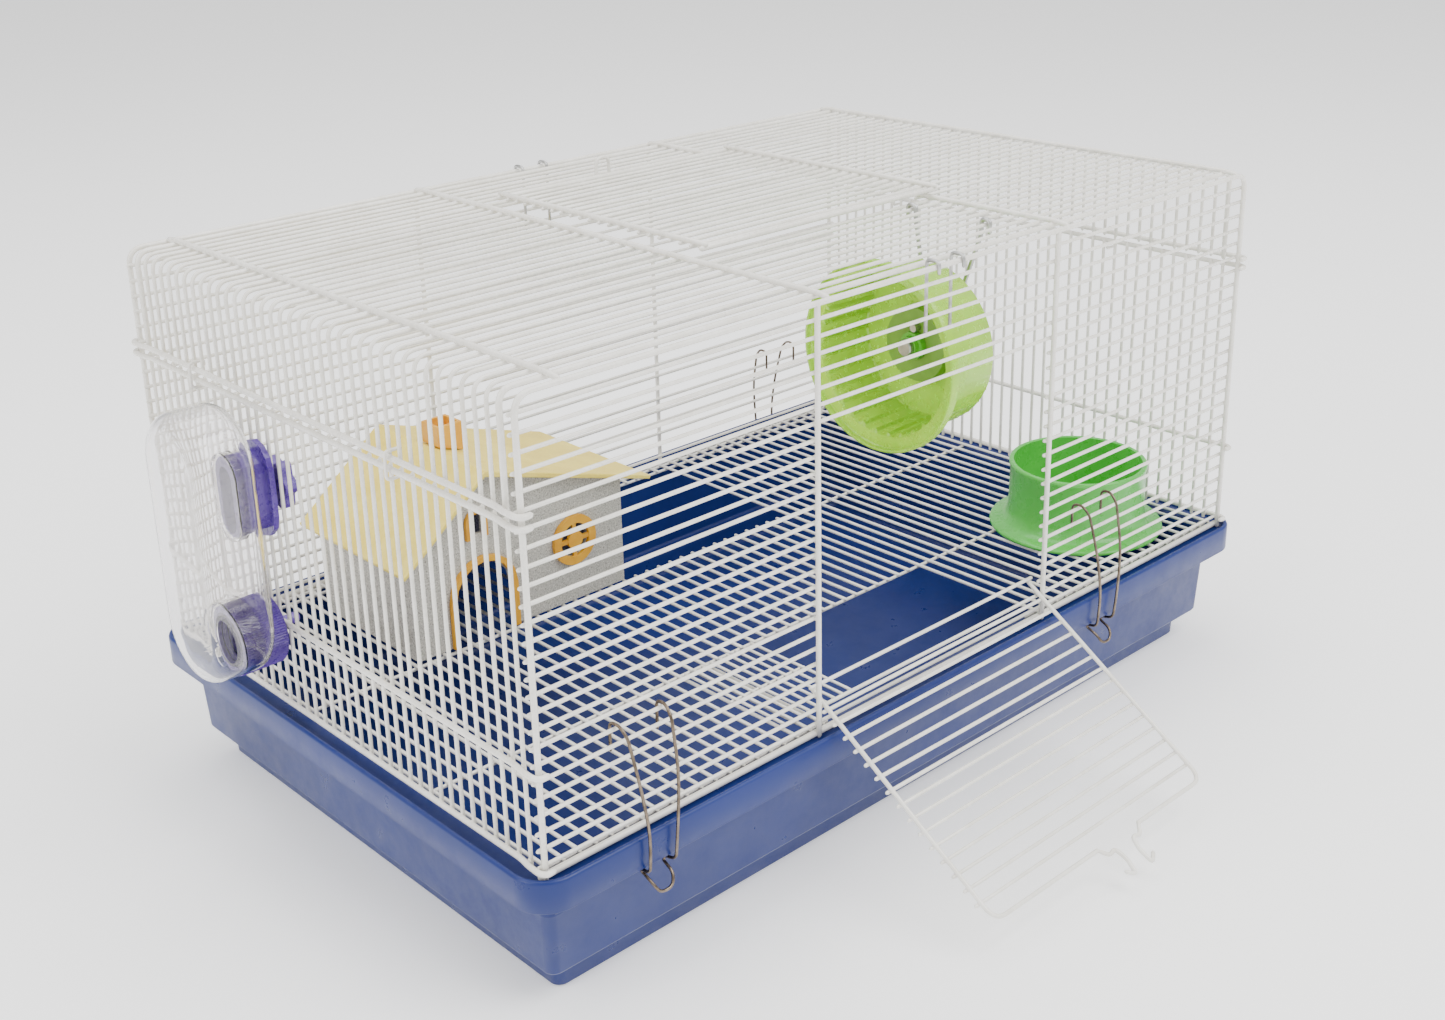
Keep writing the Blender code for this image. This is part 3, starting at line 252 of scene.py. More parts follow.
def make_looks():
    """Each slot's look. For moulded ones: dark and light tone, roughness, then scales and heights of the relief."""
    return {
        "white_wire": moulded(
            "white_wire_look", (0.76, 0.735, 0.67), (0.86, 0.84, 0.79), (0.20, 0.34),
            60.0, 1400.0, 0.00003, 300.0, 0.00008, Coat_Weight=0.35, Coat_Roughness=0.12),
        "blue_tray": moulded(
            "blue_tray_look", (0.008, 0.020, 0.125), (0.011, 0.026, 0.155), (0.26, 0.42),
            9.0, 1500.0, 0.00002, 22.0, 0.0003, Coat_Weight=0.05, Coat_Roughness=0.25,
            Specular_IOR_Level=0.3),
        "clip_wire": moulded(
            "clip_wire_look", (0.10, 0.075, 0.055), (0.24, 0.19, 0.145), (0.22, 0.42),
            160.0, 1800.0, 0.00002, 500.0, 0.00005, Metallic=1.0),
        "grey_metal": moulded(
            "grey_metal_look", (0.36, 0.36, 0.35), (0.56, 0.56, 0.55), (0.28, 0.46),
            140.0, 1600.0, 0.00002, 400.0, 0.00004, Metallic=1.0),
        "lime_wheel": moulded(
            "lime_wheel_look", (0.44, 0.80, 0.03), (0.54, 0.90, 0.06), (0.18, 0.32),
            30.0, 1100.0, 0.00002, 90.0, 0.0002, Transmission_Weight=0.35, IOR=1.46, Coat_Weight=0.2,
            Subsurface_Weight=0.25, Subsurface_Radius=(0.004, 0.008, 0.001)),
        "boss_green": moulded("boss_green_look", (0.10, 0.42, 0.03), (0.15, 0.52, 0.05), (0.26, 0.40)),
        "hub_olive": moulded("hub_olive_look", (0.12, 0.27, 0.02), (0.18, 0.36, 0.04), (0.28, 0.44)),
        "bowl_green": moulded(
            "bowl_green_look", (0.060, 0.44, 0.045), (0.085, 0.53, 0.065), (0.22, 0.36),
            20.0, 1000.0, 0.00003, 70.0, 0.0002, Coat_Weight=0.25, Coat_Roughness=0.15,
            Subsurface_Weight=0.15, Subsurface_Radius=(0.002, 0.006, 0.001)),
        "speckled_grey": speckled_walls(),
        "yellow_roof": pebbled_roof(),
        "amber_trim": moulded(
            "amber_trim_look", (0.66, 0.30, 0.012), (0.80, 0.42, 0.03), (0.34, 0.50),
            60.0, Subsurface_Weight=0.15, Subsurface_Radius=(0.005, 0.002, 0.0005)),
        "clear_bottle": moulded(
            "clear_bottle_look", (0.975, 0.965, 0.975), (0.99, 0.98, 0.99), (0.01, 0.03),
            20.0, 300.0, 0.00001, 40.0, 0.0002, Transmission_Weight=1.0, IOR=1.40),
        "purple_plastic": moulded(
            "purple_plastic_look", (0.085, 0.035, 0.30), (0.14, 0.07, 0.42), (0.22, 0.36),
            50.0, Transmission_Weight=0.12, IOR=1.46, Coat_Weight=0.2),
        "bright_steel": moulded(
            "bright_steel_look", (0.60, 0.61, 0.63), (0.72, 0.73, 0.75), (0.10, 0.22),
            200.0, Metallic=1.0),
    }


# Mesh helpers. Their points are in the cage's own frame.


def finish_piece(name, bm, slot_name, body, nodes, smooth_angle):
    """Makes the mesh a piece that rides on a body, takes a slot's look and stands for CAD nodes."""
    bmesh.ops.recalc_face_normals(bm, faces=bm.faces)
    mesh = bpy.data.meshes.new(name)
    bm.to_mesh(mesh)
    bm.free()
    mesh.transform(Matrix.Translation(CORNER))
    mesh.polygons.foreach_set("use_smooth", [True] * len(mesh.polygons))
    mesh.set_sharp_from_angle(angle=math.radians(smooth_angle))
    mesh.materials.append(LOOKS[slot_name])
    piece = bpy.data.objects.new(name, mesh)
    bpy.context.scene.collection.objects.link(piece)
    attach(piece, body)
    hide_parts(*nodes)


def rounded(points, radius, steps=7):
    """The same line with an arc at each corner."""
    points = [Vector(point) for point in points]
    path = [points[0]]
    for before, corner, after in zip(points, points[1:], points[2:]):
        back, ahead = before - corner, after - corner
        cut = min(radius, back.length * 0.49, ahead.length * 0.49)
        start, end = corner + back.normalized() * cut, corner + ahead.normalized() * cut
        for step in range(steps + 1):
            t = step / steps
            path.append(start * (1 - t) ** 2 + corner * 2 * t * (1 - t) + end * t * t)
    path.append(points[-1])
    return path


def add_tube(bm, path, radius, sides=10):
    """A round wire along a path, with domed ends."""
    end_reach, end_width, end_tip = radius * 0.75, radius * 0.60, radius * 0.28
    path = [Vector(point) for point in path]
    tangents = []
    for i in range(len(path)):
        before, after = path[max(i - 1, 0)], path[min(i + 1, len(path) - 1)]
        tangents.append((after - before).normalized())
    normal = tangents[0].orthogonal().normalized()
    circle = [(math.cos(2 * math.pi * s / sides), math.sin(2 * math.pi * s / sides)) for s in range(sides)]

    def ring(centre, tangent, size):
        side = tangent.cross(normal)
        return [bm.verts.new(centre + (normal * c + side * s) * size) for c, s in circle]

    rings = [ring(path[0] - tangents[0] * end_reach, tangents[0], end_width)]
    for point, tangent in zip(path, tangents):
        normal = (normal - tangent * normal.dot(tangent)).normalized()
        rings.append(ring(point, tangent, radius))
    rings.append(ring(path[-1] + tangents[-1] * end_reach, tangents[-1], end_width))
    for first, second in zip(rings, rings[1:]):
        for i in range(sides):
            j = (i + 1) % sides
            bm.faces.new((first[i], first[j], second[j], second[i]))
    for ends, out in ((rings[0], -tangents[0]), (rings[-1], tangents[-1])):
        middle = sum((v.co for v in ends), Vector()) / sides
        tip = bm.verts.new(middle + out * end_tip)
        for i in range(sides):
            bm.faces.new((ends[i], ends[(i + 1) % sides], tip))


def add_bead(bm, centre, size):
    """A small blob of coating where two wires are welded."""
    centre = Vector(centre)
    around, levels = 8, 4
    rows = [[bm.verts.new(centre - Z * size[2])] * around]
    for level in range(1, levels):
        lift = -math.cos(math.pi * level / levels)
        spread_out = math.sin(math.pi * level / levels)
        rows.append([
            bm.verts.new(centre + Vector((size[0] * spread_out * math.cos(2 * math.pi * s / around),
                                          size[1] * spread_out * math.sin(2 * math.pi * s / around),
                                          size[2] * lift)))
            for s in range(around)])
    rows.append([bm.verts.new(centre + Z * size[2])] * around)
    for first, second in zip(rows, rows[1:]):
        for i in range(around):
            j = (i + 1) % around
            bm.faces.new(list(dict.fromkeys((first[i], first[j], second[j], second[i]))))


def sway(amount):
    return drift.uniform(-amount, amount)


def straight(start, end, sag=0.00035, steps=6):
    """A nearly straight wire: welded mesh is never perfectly true."""
    start, end = Vector(start), Vector(end)
    bow = Vector((sway(sag), sway(sag), sway(sag)))
    if (end - start).length < 0.03:
        return [start, end]
    path = []
    for step in range(steps + 1):
        t = step / steps
        path.append(start.lerp(end, t) + bow * math.sin(math.pi * t))
    return path


def turned(bm, profile, centre, axis, steps, closed=False, ripple=None):
    """Turns (position along axis, radius) pairs about a line."""
    u = Y if axis == X else X
    v = axis.cross(u)
    rings = []
    for index, (along, radius) in enumerate(profile):
        base = Vector(centre) + axis * along
        if radius == 0:
            rings.append([bm.verts.new(base)] * steps)
            continue
        ring = []
        for step in range(steps):
            angle = 2 * math.pi * step / steps
            extra = ripple(index, step) if ripple else 0.0
            ring.append(bm.verts.new(base + (u * math.cos(angle) + v * math.sin(angle)) * (radius + extra)))
        rings.append(ring)
    pairs = list(zip(rings, rings[1:]))
    if closed:
        pairs.append((rings[-1], rings[0]))
    for first, second in pairs:
        for step in range(steps):
            after = (step + 1) % steps
            bm.faces.new(list(dict.fromkeys((first[step], first[after], second[after], second[step]))))


def arc(centre, radius, start, end, steps):
    points = []
    for step in range(steps + 1):
        angle = math.radians(start + (end - start) * step / steps)
        points.append((centre[0] + radius * math.cos(angle), centre[1] + radius * math.sin(angle)))
    return points


def stadium(centre, half_width, half_height, steps=24):
    level = half_height - half_width
    upper = arc((centre[0], centre[1] + level), half_width, 0, 180, steps)
    lower = arc((centre[0], centre[1] - level), half_width, 180, 360, steps)
    return upper + lower


def loft(bm, rings):
    """Skins closed outlines of equally many points, and closes both ends."""
    rows = [[bm.verts.new(point) for point in ring] for ring in rings]
    for first, second in zip(rows, rows[1:]):
        for i in range(len(first)):
            j = (i + 1) % len(first)
            bm.faces.new((first[i], first[j], second[j], second[i]))
    bm.faces.new(rows[0])
    bm.faces.new(rows[-1])


# Tray


def tray_ring(inset, z):
    """The tray's outline drawn in by an inset, with round corners that tighten as it shrinks."""
    radius = max(TRAY_CORNER - inset, TRAY_LEAST_CORNER)
    low = (-TRAY_OVERHANG + inset, -TRAY_OVERHANG + inset)
    high = (LENGTH + TRAY_OVERHANG - inset, DEPTH + TRAY_OVERHANG - inset)
    corners = (
        ((high[0] - radius, high[1] - radius), 0),
        ((low[0] + radius, high[1] - radius), 90),
        ((low[0] + radius, low[1] + radius), 180),
        ((high[0] - radius, low[1] + radius), 270),
    )
    points = []
    for centre, start in corners:
        points += [(x, y, z) for x, y in arc(centre, radius, start, start + 90, TRAY_CORNER_STEPS)]
    return points


def build_tray():
    """(inset, height) steps from the foot up the outside, over the rim and down the inside."""
    foot_z = -TRAY_DEPTH
    steps = (
        (0.0300, foot_z), (0.0284, foot_z + 0.0003), (0.0276, foot_z + 0.0014), (0.0268, -0.0690),
        (0.0262, -0.0680),
        (0.0250, -0.0674), (0.0190, -0.0671), (0.0176, -0.0666), (0.0168, -0.0652), (0.0152, -0.0310),
        (0.0149, -0.0306), (0.0149, -0.0296), (0.0144, -0.0292), (0.0131, -0.0074), (0.0124, -0.0068),
        (0.0032, -0.0068), (0.0026, -0.0076), (0.0024, -0.0172), (0.0020, -0.0179), (0.0006, -0.0180),
        (0.0001, -0.0174), (0.0000, -0.0016), (0.0005, -0.0005), (0.0014, 0.0000), (0.0026, -0.0002),
        (0.0032, -0.0010), (0.0035, -0.0036), (0.0041, -0.0042), (0.0188, -0.0043), (0.0197, -0.0049),
        (0.0201, -0.0060), (0.0206, -0.0630), (0.0212, -0.0646), (0.0226, -0.0654), (0.0292, -0.0657),
        (0.0303, -0.0663), (0.0309, -0.0675), (0.0315, foot_z + 0.0045), (0.0330, foot_z + 0.0028),
        (0.0360, foot_z + 0.0025),
    )
    bm = bmesh.new()
    loft(bm, [tray_ring(inset, z) for inset, z in steps])
    finish_piece("tray_shell", bm, "blue_tray", "cage", ["tray"], 50)


# Wire top


def row_z(row):
    return FRONT_FIRST + row * FRONT_PITCH


def side_y(k):
    return SIDE_MARGIN + k * SIDE_PITCH


def build_front_panel():
    bm = bmesh.new()
    y = -LAYER
    frame_path = [(0, y, POST_FOOT_Z), (0, y, TOP), (LENGTH, y, TOP), (LENGTH, y, POST_FOOT_Z)]
    add_tube(bm, rounded(frame_path, FRAME_BEND), HEAVY, 12)
    for x in POSTS_X:
        add_tube(bm, straight((x, y, POST_FOOT_Z), (x, y, TOP - 0.001), 0.0002), POST, 12)
    rail = straight((-0.001, -0.0002, RAIL_Z), (LENGTH + 0.001, -0.0002, RAIL_Z), WAVER)
    add_tube(bm, rail, RAIL, 12)
    verticals = (0.0, *POSTS_X, LENGTH)
    for row in range(FRONT_ROWS):
        z = row_z(row)
        if SILL_ROW < row < LINTEL_ROW:
            spans = ((-OVERRUN, POSTS_X[0] + OVERRUN), (POSTS_X[1] - OVERRUN, LENGTH + OVERRUN))
        else:
            spans = ((-OVERRUN, LENGTH + OVERRUN),)
        for x0, x1 in spans:
            add_tube(bm, straight((x0, sway(WAVER), z + sway(WAVER)), (x1, 0, z + sway(WAVER))), WIRE)
        for x in verticals:
            add_bead(bm, (x, -BEAD_LIFT, z), FRONT_BEAD)
    finish_piece("front_wires", bm, "white_wire", "cage", ["front_panel"], WIRE_SMOOTH)


def build_back_panel():
    bm = bmesh.new()
    y = DEPTH + LAYER
    frame_path = [(0, y, POST_FOOT_Z), (0, y, TOP), (LENGTH, y, TOP), (LENGTH, y, POST_FOOT_Z)]
    add_tube(bm, rounded(frame_path, FRAME_BEND), HEAVY, 12)
    posts = (ROOF_BARS_X[1], ROOF_BARS_X[2])
    for x in posts:
        add_tube(bm, straight((x, y, POST_FOOT_Z), (x, y, TOP - 0.001), 0.0002), POST, 12)
    add_tube(bm, straight((-0.001, DEPTH, RAIL_Z), (LENGTH + 0.001, DEPTH, RAIL_Z), WAVER), RAIL, 12)
    for row in range(FRONT_ROWS):
        z = row_z(row)
        add_tube(bm, straight((-OVERRUN, DEPTH, z + sway(WAVER)), (LENGTH + OVERRUN, DEPTH, z)), WIRE)
        for x in (0.0, *posts, LENGTH):
            add_bead(bm, (x, DEPTH + BEAD_LIFT, z), FRONT_BEAD)
    finish_piece("back_wires", bm, "white_wire", "cage", ["back_panel"], WIRE_SMOOTH)


def hooked_bar(x, outward, z):
    """A bar whose two ends curl round the end posts of the front and back panels."""
    half = []
    hook = ((LAYER, 0.0140), (0.0036, 0.0050), (0.0038, -0.0030), (0.0018, -0.0062), (-0.0022, -0.0058))
    for px, py in hook:
        half.append((x + outward * px, py, z))
    far = [(px, DEPTH - py, pz) for px, py, pz in reversed(half)]
    return rounded(list(reversed(half)) + list(reversed(far)), 0.0030, 5)


def build_end_panel(name, x, outward, node):
    bm = bmesh.new()
    for k in range(SIDE_COUNT):
        y = side_y(k)
        add_tube(bm, straight((x, y, 0.0003), (x, y + sway(0.0002), PANEL_TOP_Z + 0.0012)), WIRE)
        for z in (0.0024, LOW_BAR_Z, PANEL_TOP_Z):
            add_bead(bm, (x + outward * BEAD_LIFT, y, z), END_BEAD)
    for z in (0.0024, LOW_BAR_Z, PANEL_TOP_Z):
        add_tube(bm, hooked_bar(x, outward, z), HEAVY, 12)
    finish_piece(name, bm, "white_wire", "cage", [node], WIRE_SMOOTH)


def build_roof():
    """Roof wires bent down at both ends, with the bars across them."""
    bm = bmesh.new()
    for k in range(SIDE_COUNT):
        y = side_y(k)
        radius = HEAVY if k in (0, SIDE_COUNT - 1) else WIRE
        low = DROP_BOTTOM_Z - 0.0012
        left = [(0, y, low), (0, y, TOP)]
        right = [(LENGTH, y, TOP), (LENGTH, y, low)]
        if HATCH_OPENING_Y[0] < y < HATCH_OPENING_Y[1]:
            runs = (left + [(ROOF_BARS_X[1] + OVERRUN, y, TOP)], [(ROOF_BARS_X[2] - OVERRUN, y, TOP)] + right)
        else:
            runs = (left + [(LENGTH * 0.5, y + sway(0.0004), TOP + sway(0.0003))] + right,)
        for run in runs:
            add_tube(bm, rounded(run, BEND), radius)
        for x in ROOF_BARS_X:
            add_bead(bm, (x, y, TOP + BEAD_LIFT), ROOF_BEAD)
        for x, outward in ((0, -1), (LENGTH, 1)):
            add_bead(bm, (x + outward * BEAD_LIFT, y, DROP_BOTTOM_Z), END_BEAD)
    for x in ROOF_BARS_X:
        path = [(x, -0.0006, TOP + 0.0012), (x, 0.0060, TOP + LAYER), (x, DEPTH - 0.0060, TOP + LAYER),
                (x, DEPTH + 0.0006, TOP + 0.0012)]
        add_tube(bm, rounded(path, 0.004), HEAVY, 12)
    for x, outward in ((0, -1), (LENGTH, 1)):
        add_tube(bm, hooked_bar(x, outward, DROP_BOTTOM_Z), HEAVY, 12)
    nodes = ["roof_front", "roof_left", "roof_right", "roof_back", "roof_drop_left", "roof_drop_right"]
    finish_piece("roof_wires", bm, "white_wire", "cage", nodes, WIRE_SMOOTH)


def build_hatch():
    bm = bmesh.new()
    pitch = (HATCH_Y[1] - HATCH_Y[0]) / (HATCH_WIRES - 1)
    bars = (HATCH_X[0] + 0.002, HATCH_X[1] - 0.002)
    for k in range(HATCH_WIRES):
        y = HATCH_Y[0] + k * pitch
        radius = HEAVY if k in (0, HATCH_WIRES - 1) else WIRE
        add_tube(bm, straight((HATCH_X[0], y, HATCH_Z), (HATCH_X[1], y, HATCH_Z), 0.0003), radius)
        for x in bars:
            add_bead(bm, (x, y, HATCH_Z + BEAD_LIFT), ROOF_BEAD)
    bar_z = HATCH_Z + LAYER
    for x in bars:
        add_tube(bm, straight((x, HATCH_Y[0] - 0.001, bar_z), (x, HATCH_Y[1] + 0.001, bar_z), WAVER), HEAVY, 12)
    loop_x, half, height = 0.287, 0.0052, 0.0115
    y = HATCH_Y[1] + 0.0022
    loop = [(loop_x - half, y, HATCH_Z - 0.0015), (loop_x - half, y, HATCH_Z + height),
            (loop_x + half, y, HATCH_Z + height), (loop_x + half, y, HATCH_Z - 0.0015)]
    add_tube(bm, rounded(loop, 0.0050, 9), 0.0012, 12)
    y = HATCH_Y[0] + 0.0040
    joggle = [(bars[0], y, HATCH_Z), (0.286, y, HATCH_Z), (0.292, y - 0.0030, HATCH_Z + 0.0012),
              (0.314, y - 0.0030, HATCH_Z + 0.0012), (0.320, y, HATCH_Z), (bars[1], y, HATCH_Z)]
    add_tube(bm, rounded(joggle, 0.003), WIRE, 10)
    finish_piece("hatch_wires", bm, "white_wire", "roof_hatch", ["roof_hatch"], WIRE_SMOOTH)


def door_matrix():
    pivot = Matrix.Translation((0.0, 0.0, HINGE_Z))
    return pivot @ Matrix.Rotation(DOOR_OPEN, 4, "X")


def build_door():
    """Drawn shut, with heights measured up from the hinge wire, then turned to hang open."""
    bm = bmesh.new()
    y = DOOR_OFFSET
    left, right = DOOR_X[0] + 0.001, DOOR_X[1] - 0.001
    middle = 0.297
    end = DOOR_LENGTH
    latch = ((0.0190, 0.0), (0.0140, 0.0060), (0.0085, 0.0040),
             (0.0060, 0.0120), (0.0075, 0.0215), (0.0125, 0.0175))
    for edge, side in ((left, -1), (right, 1)):
        run = [(edge, y, -DOOR_TAIL - 0.0006), (edge, y, end)]
        run += [(middle + side * across, y, end + up) for across, up in latch]
        soft = rounded(run[:3], 0.009, 9)[:-1] + rounded(run[2:], 0.0028, 6)
        add_tube(bm, soft, 0.0013, 12)
    reach = 0.0022
    inner = y - 0.0019
    for k in range(DOOR_RUNGS):
        at = DOOR_FIRST + k * FRONT_PITCH
        rung = straight((left - reach, inner, at + sway(WAVER)), (right + reach, inner, at), 0.0003)
        add_tube(bm, rung, WIRE)
        for x in (left, right):
            add_bead(bm, (x, y - BEAD_LIFT, at), (0.0015, 0.0009, 0.0015))
    outer = y + 0.0019
    add_tube(bm, straight((left - reach, outer, -DOOR_TAIL), (right + reach, outer, -DOOR_TAIL), WAVER), WIRE)
    bm.transform(door_matrix())
    finish_piece("door_wires", bm, "white_wire", "front_door", ["front_door"], WIRE_SMOOTH)


def build_floor():
    bm = bmesh.new()
    inset = 0.0030
    left, right, depth = FRONT_CUTOUT
    rear_left, rear_right, rear_front, rear_back = REAR_CUTOUT
    bar_z = FLOOR_Z - 0.0017
    end = LENGTH - inset
    bars = ((inset, left, 0.0055), (right, end, 0.0055), (inset, end, depth), (inset, end, rear_front),
            (inset, end, rear_back), (inset, end, DEPTH - 0.0045))
    for k in range(FLOOR_COUNT):
        x = inset + 0.002 + k * FLOOR_PITCH
        start = depth - 0.0015 if left < x < right else inset
        if rear_left < x < rear_right:
            spans = ((start, rear_front + 0.0015), (rear_back - 0.0015, DEPTH - inset))
        else:
            spans = ((start, DEPTH - inset),)
        for y0, y1 in spans:
            add_tube(bm, straight((x, y0, FLOOR_Z), (x + sway(0.0002), y1, FLOOR_Z)), WIRE, 8)
        for x0, x1, y in bars:
            if x0 <= x <= x1 and any(y0 <= y <= y1 for y0, y1 in spans):
                add_bead(bm, (x, y, FLOOR_Z - BEAD_LIFT), (0.0014, 0.0014, 0.0010))
    for x0, x1, y in bars:
        add_tube(bm, straight((x0, y, bar_z), (x1, y, bar_z), 0.0002), WIRE, 8)
    nodes = ["floor_left", "floor_right", "floor_middle", "floor_rear_left", "floor_back"]
    finish_piece("floor_wires", bm, "white_wire", "cage", nodes, WIRE_SMOOTH)


def build_ramp():
    bm = bmesh.new()
    low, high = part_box("floor_ramp")
    low, high = low - CORNER, high - CORNER
    wire = 0.0009
    lower, upper = low.z + wire, high.z - wire
    long_wires = [0.172 + 0.003 + k * 0.0066 for k in range(9)]
    for x in long_wires:
        add_tube(bm, straight((x, low.y + 0.0008, upper), (x, high.y - 0.0008, upper), 0.0002), wire, 8)
    for y in (low.y + 0.003, (low.y + high.y) / 2, high.y - 0.003):
        add_tube(bm, straight((low.x + 0.0008, y, lower), (high.x - 0.0008, y, lower), 0.0002), wire, 8)
        for x in long_wires:
            add_bead(bm, (x, y, (lower + upper) / 2), (0.0012, 0.0012, 0.0008))
    finish_piece("ramp_wires", bm, "white_wire", "cage", ["floor_ramp"], WIRE_SMOOTH)


def build_clips():
    z = row_z(6)
    for label, x, wall, out in (("front_left", 0.0625, 0.0, -1), ("front_right", 0.4325, 0.0, -1),
                                ("back_left", 0.1455, DEPTH, 1), ("back_right", 0.5155, DEPTH, 1)):
        half = ((0.0150, -0.0036, z - 0.0130), (0.0150, -0.0036, z + 0.0022), (0.0148, 0.0030, z + 0.0032),
                (0.0140, 0.0085, z - 0.0020), (0.0120, 0.0150, z - 0.0300), (0.0090, 0.0165, z - 0.0550),
                (0.0085, 0.0145, -0.0200), (0.0080, 0.0068, -0.0212), (0.0070, 0.0062, -0.0235),
                (0.0068, 0.0140, -0.0270), (0.0040, 0.0165, -0.0325))
        left = [(x - across, wall + out * reach, height) for across, reach, height in half]
        right = [(x + across, wall + out * reach, height) for across, reach, height in reversed(half)]
        bm = bmesh.new()
        add_tube(bm, rounded(left + right, 0.012, 5), 0.00085, 10)
        finish_piece("clip_wire_" + label, bm, "clip_wire", "clip_" + label, ["clip_" + label], WIRE_SMOOTH)


def build_ties():
    for label, x, out in (("left", 0.0, -1), ("right", LENGTH, 1)):
        for place, y in (("front", 0.0965), ("back", 0.2910)):
            reach, inner = out * 0.0058, -out * 0.0030
            points = ((x + inner, y, DROP_BOTTOM_Z + 0.0016), (x + inner, y, DROP_BOTTOM_Z + 0.0042),
                      (x + reach, y, DROP_BOTTOM_Z + 0.0042), (x + reach, y, PANEL_TOP_Z - 0.0042),
                      (x + inner, y, PANEL_TOP_Z - 0.0042), (x + inner, y, PANEL_TOP_Z - 0.0016))
            name = f"seam_tie_{label}_{place}"
            bm = bmesh.new()
            add_tube(bm, rounded(points, 0.0025), 0.0009, 10)
            finish_piece(name + "_wire", bm, "white_wire", "cage", [name], WIRE_SMOOTH)


def build_roof_hooks():
    for label, wall_y, inward in (("front", 0.0, 1), ("back", DEPTH, -1)):
        for side, x in (("left", 0.276), ("right", 0.296)):
            wall, behind = wall_y - inward * 0.0034, wall_y + inward * 0.0040
            points = ((x, wall - inward * 0.0012, TOP - 0.0028), (x, wall - inward * 0.0012, TOP + 0.0034),
                      (x, behind, TOP + 0.0034), (x, behind, row_z(22) - 0.002))
            name = f"roof_hook_{label}_{side}"
            bm = bmesh.new()
            add_tube(bm, rounded(points, 0.0030), 0.0010, 10)
            finish_piece(name + "_wire", bm, "grey_metal", "cage", [name], WIRE_SMOOTH)


# Wheel and bowl


def build_wheel():
    centre = (0.0, WHEEL_Y, WHEEL_Z)
    inner = WHEEL_DRUM - 0.0018
    front, back = WHEEL_FRONT_X, WHEEL_BACK_X
    profile = (
        (front, WHEEL_RIM - 0.0012), (front + 0.0003, WHEEL_RIM - 0.0003), (front + 0.0010, WHEEL_RIM),
        (front + 0.0058, WHEEL_RIM), (front + 0.0065, WHEEL_RIM - 0.0006),
        (front + 0.0068, WHEEL_DRUM + 0.0020),
        (front + 0.0078, WHEEL_DRUM + 0.0004), (front + 0.0100, WHEEL_DRUM), (back - 0.0014, WHEEL_DRUM),
        (back - 0.0004, WHEEL_DRUM - 0.0004), (back, WHEEL_DRUM - 0.0014), (back, AXLE_RADIUS + 0.0003),
        (back - 0.0022, AXLE_RADIUS + 0.0003), (back - 0.0022, inner - 0.0012),
        (back - 0.0032, inner - 0.0002),
        (front + 0.0060, inner + 0.0006), (front + 0.0045, inner + 0.0014),
        (front + 0.0042, WHEEL_RIM - 0.0024),
        (front + 0.0034, WHEEL_RIM - 0.0018), (front + 0.0006, WHEEL_RIM - 0.0018),
    )

    def rungs(index, step):
        """Every sixth step is a rung: a ridge inside the drum wall and a slight one outside."""
        inside_points, outside_points = (14, 15), (7, 8)
        if step % 6:
            return 0.0
        if index in inside_points:
            return -0.0015
        return 0.0004 if index in outside_points else 0.0

    bm = bmesh.new()
    turned(bm, profile, centre, X, 180, closed=True, ripple=rungs)
    finish_piece("wheel_running_drum", bm, "lime_wheel", "wheel", ["wheel_drum"], 32)
    x = back + 0.0085
    cradle = AXLE_RADIUS + 0.0022
    gap = 0.0030
    front_wire, back_wire = side_y(3), side_y(9)
    hook_z = TOP + 0.0031
    points = ((x, front_wire - gap, TOP - 0.004), (x, front_wire - gap, hook_z), (x, front_wire + gap, hook_z),
              (x, front_wire + gap, TOP - 0.006), (x, WHEEL_Y - cradle, WHEEL_Z + 0.003),
              (x, WHEEL_Y - cradle, WHEEL_Z - 0.0015), (x, WHEEL_Y - 0.0036, WHEEL_Z - 0.0054),
              (x, WHEEL_Y, WHEEL_Z - cradle), (x, WHEEL_Y + 0.0036, WHEEL_Z - 0.0054),
              (x, WHEEL_Y + cradle, WHEEL_Z - 0.0015), (x, WHEEL_Y + cradle, WHEEL_Z + 0.003),
              (x, back_wire - gap, TOP - 0.006), (x, back_wire - gap, hook_z), (x, back_wire + gap, hook_z),
              (x, back_wire + gap, TOP - 0.004))
    bm = bmesh.new()
    add_tube(bm, rounded(points, 0.0028, 5), 0.0014, 12)
    finish_piece("wheel_hanger_wire", bm, "grey_metal", "cage", ["wheel_hanger"], WIRE_SMOOTH)


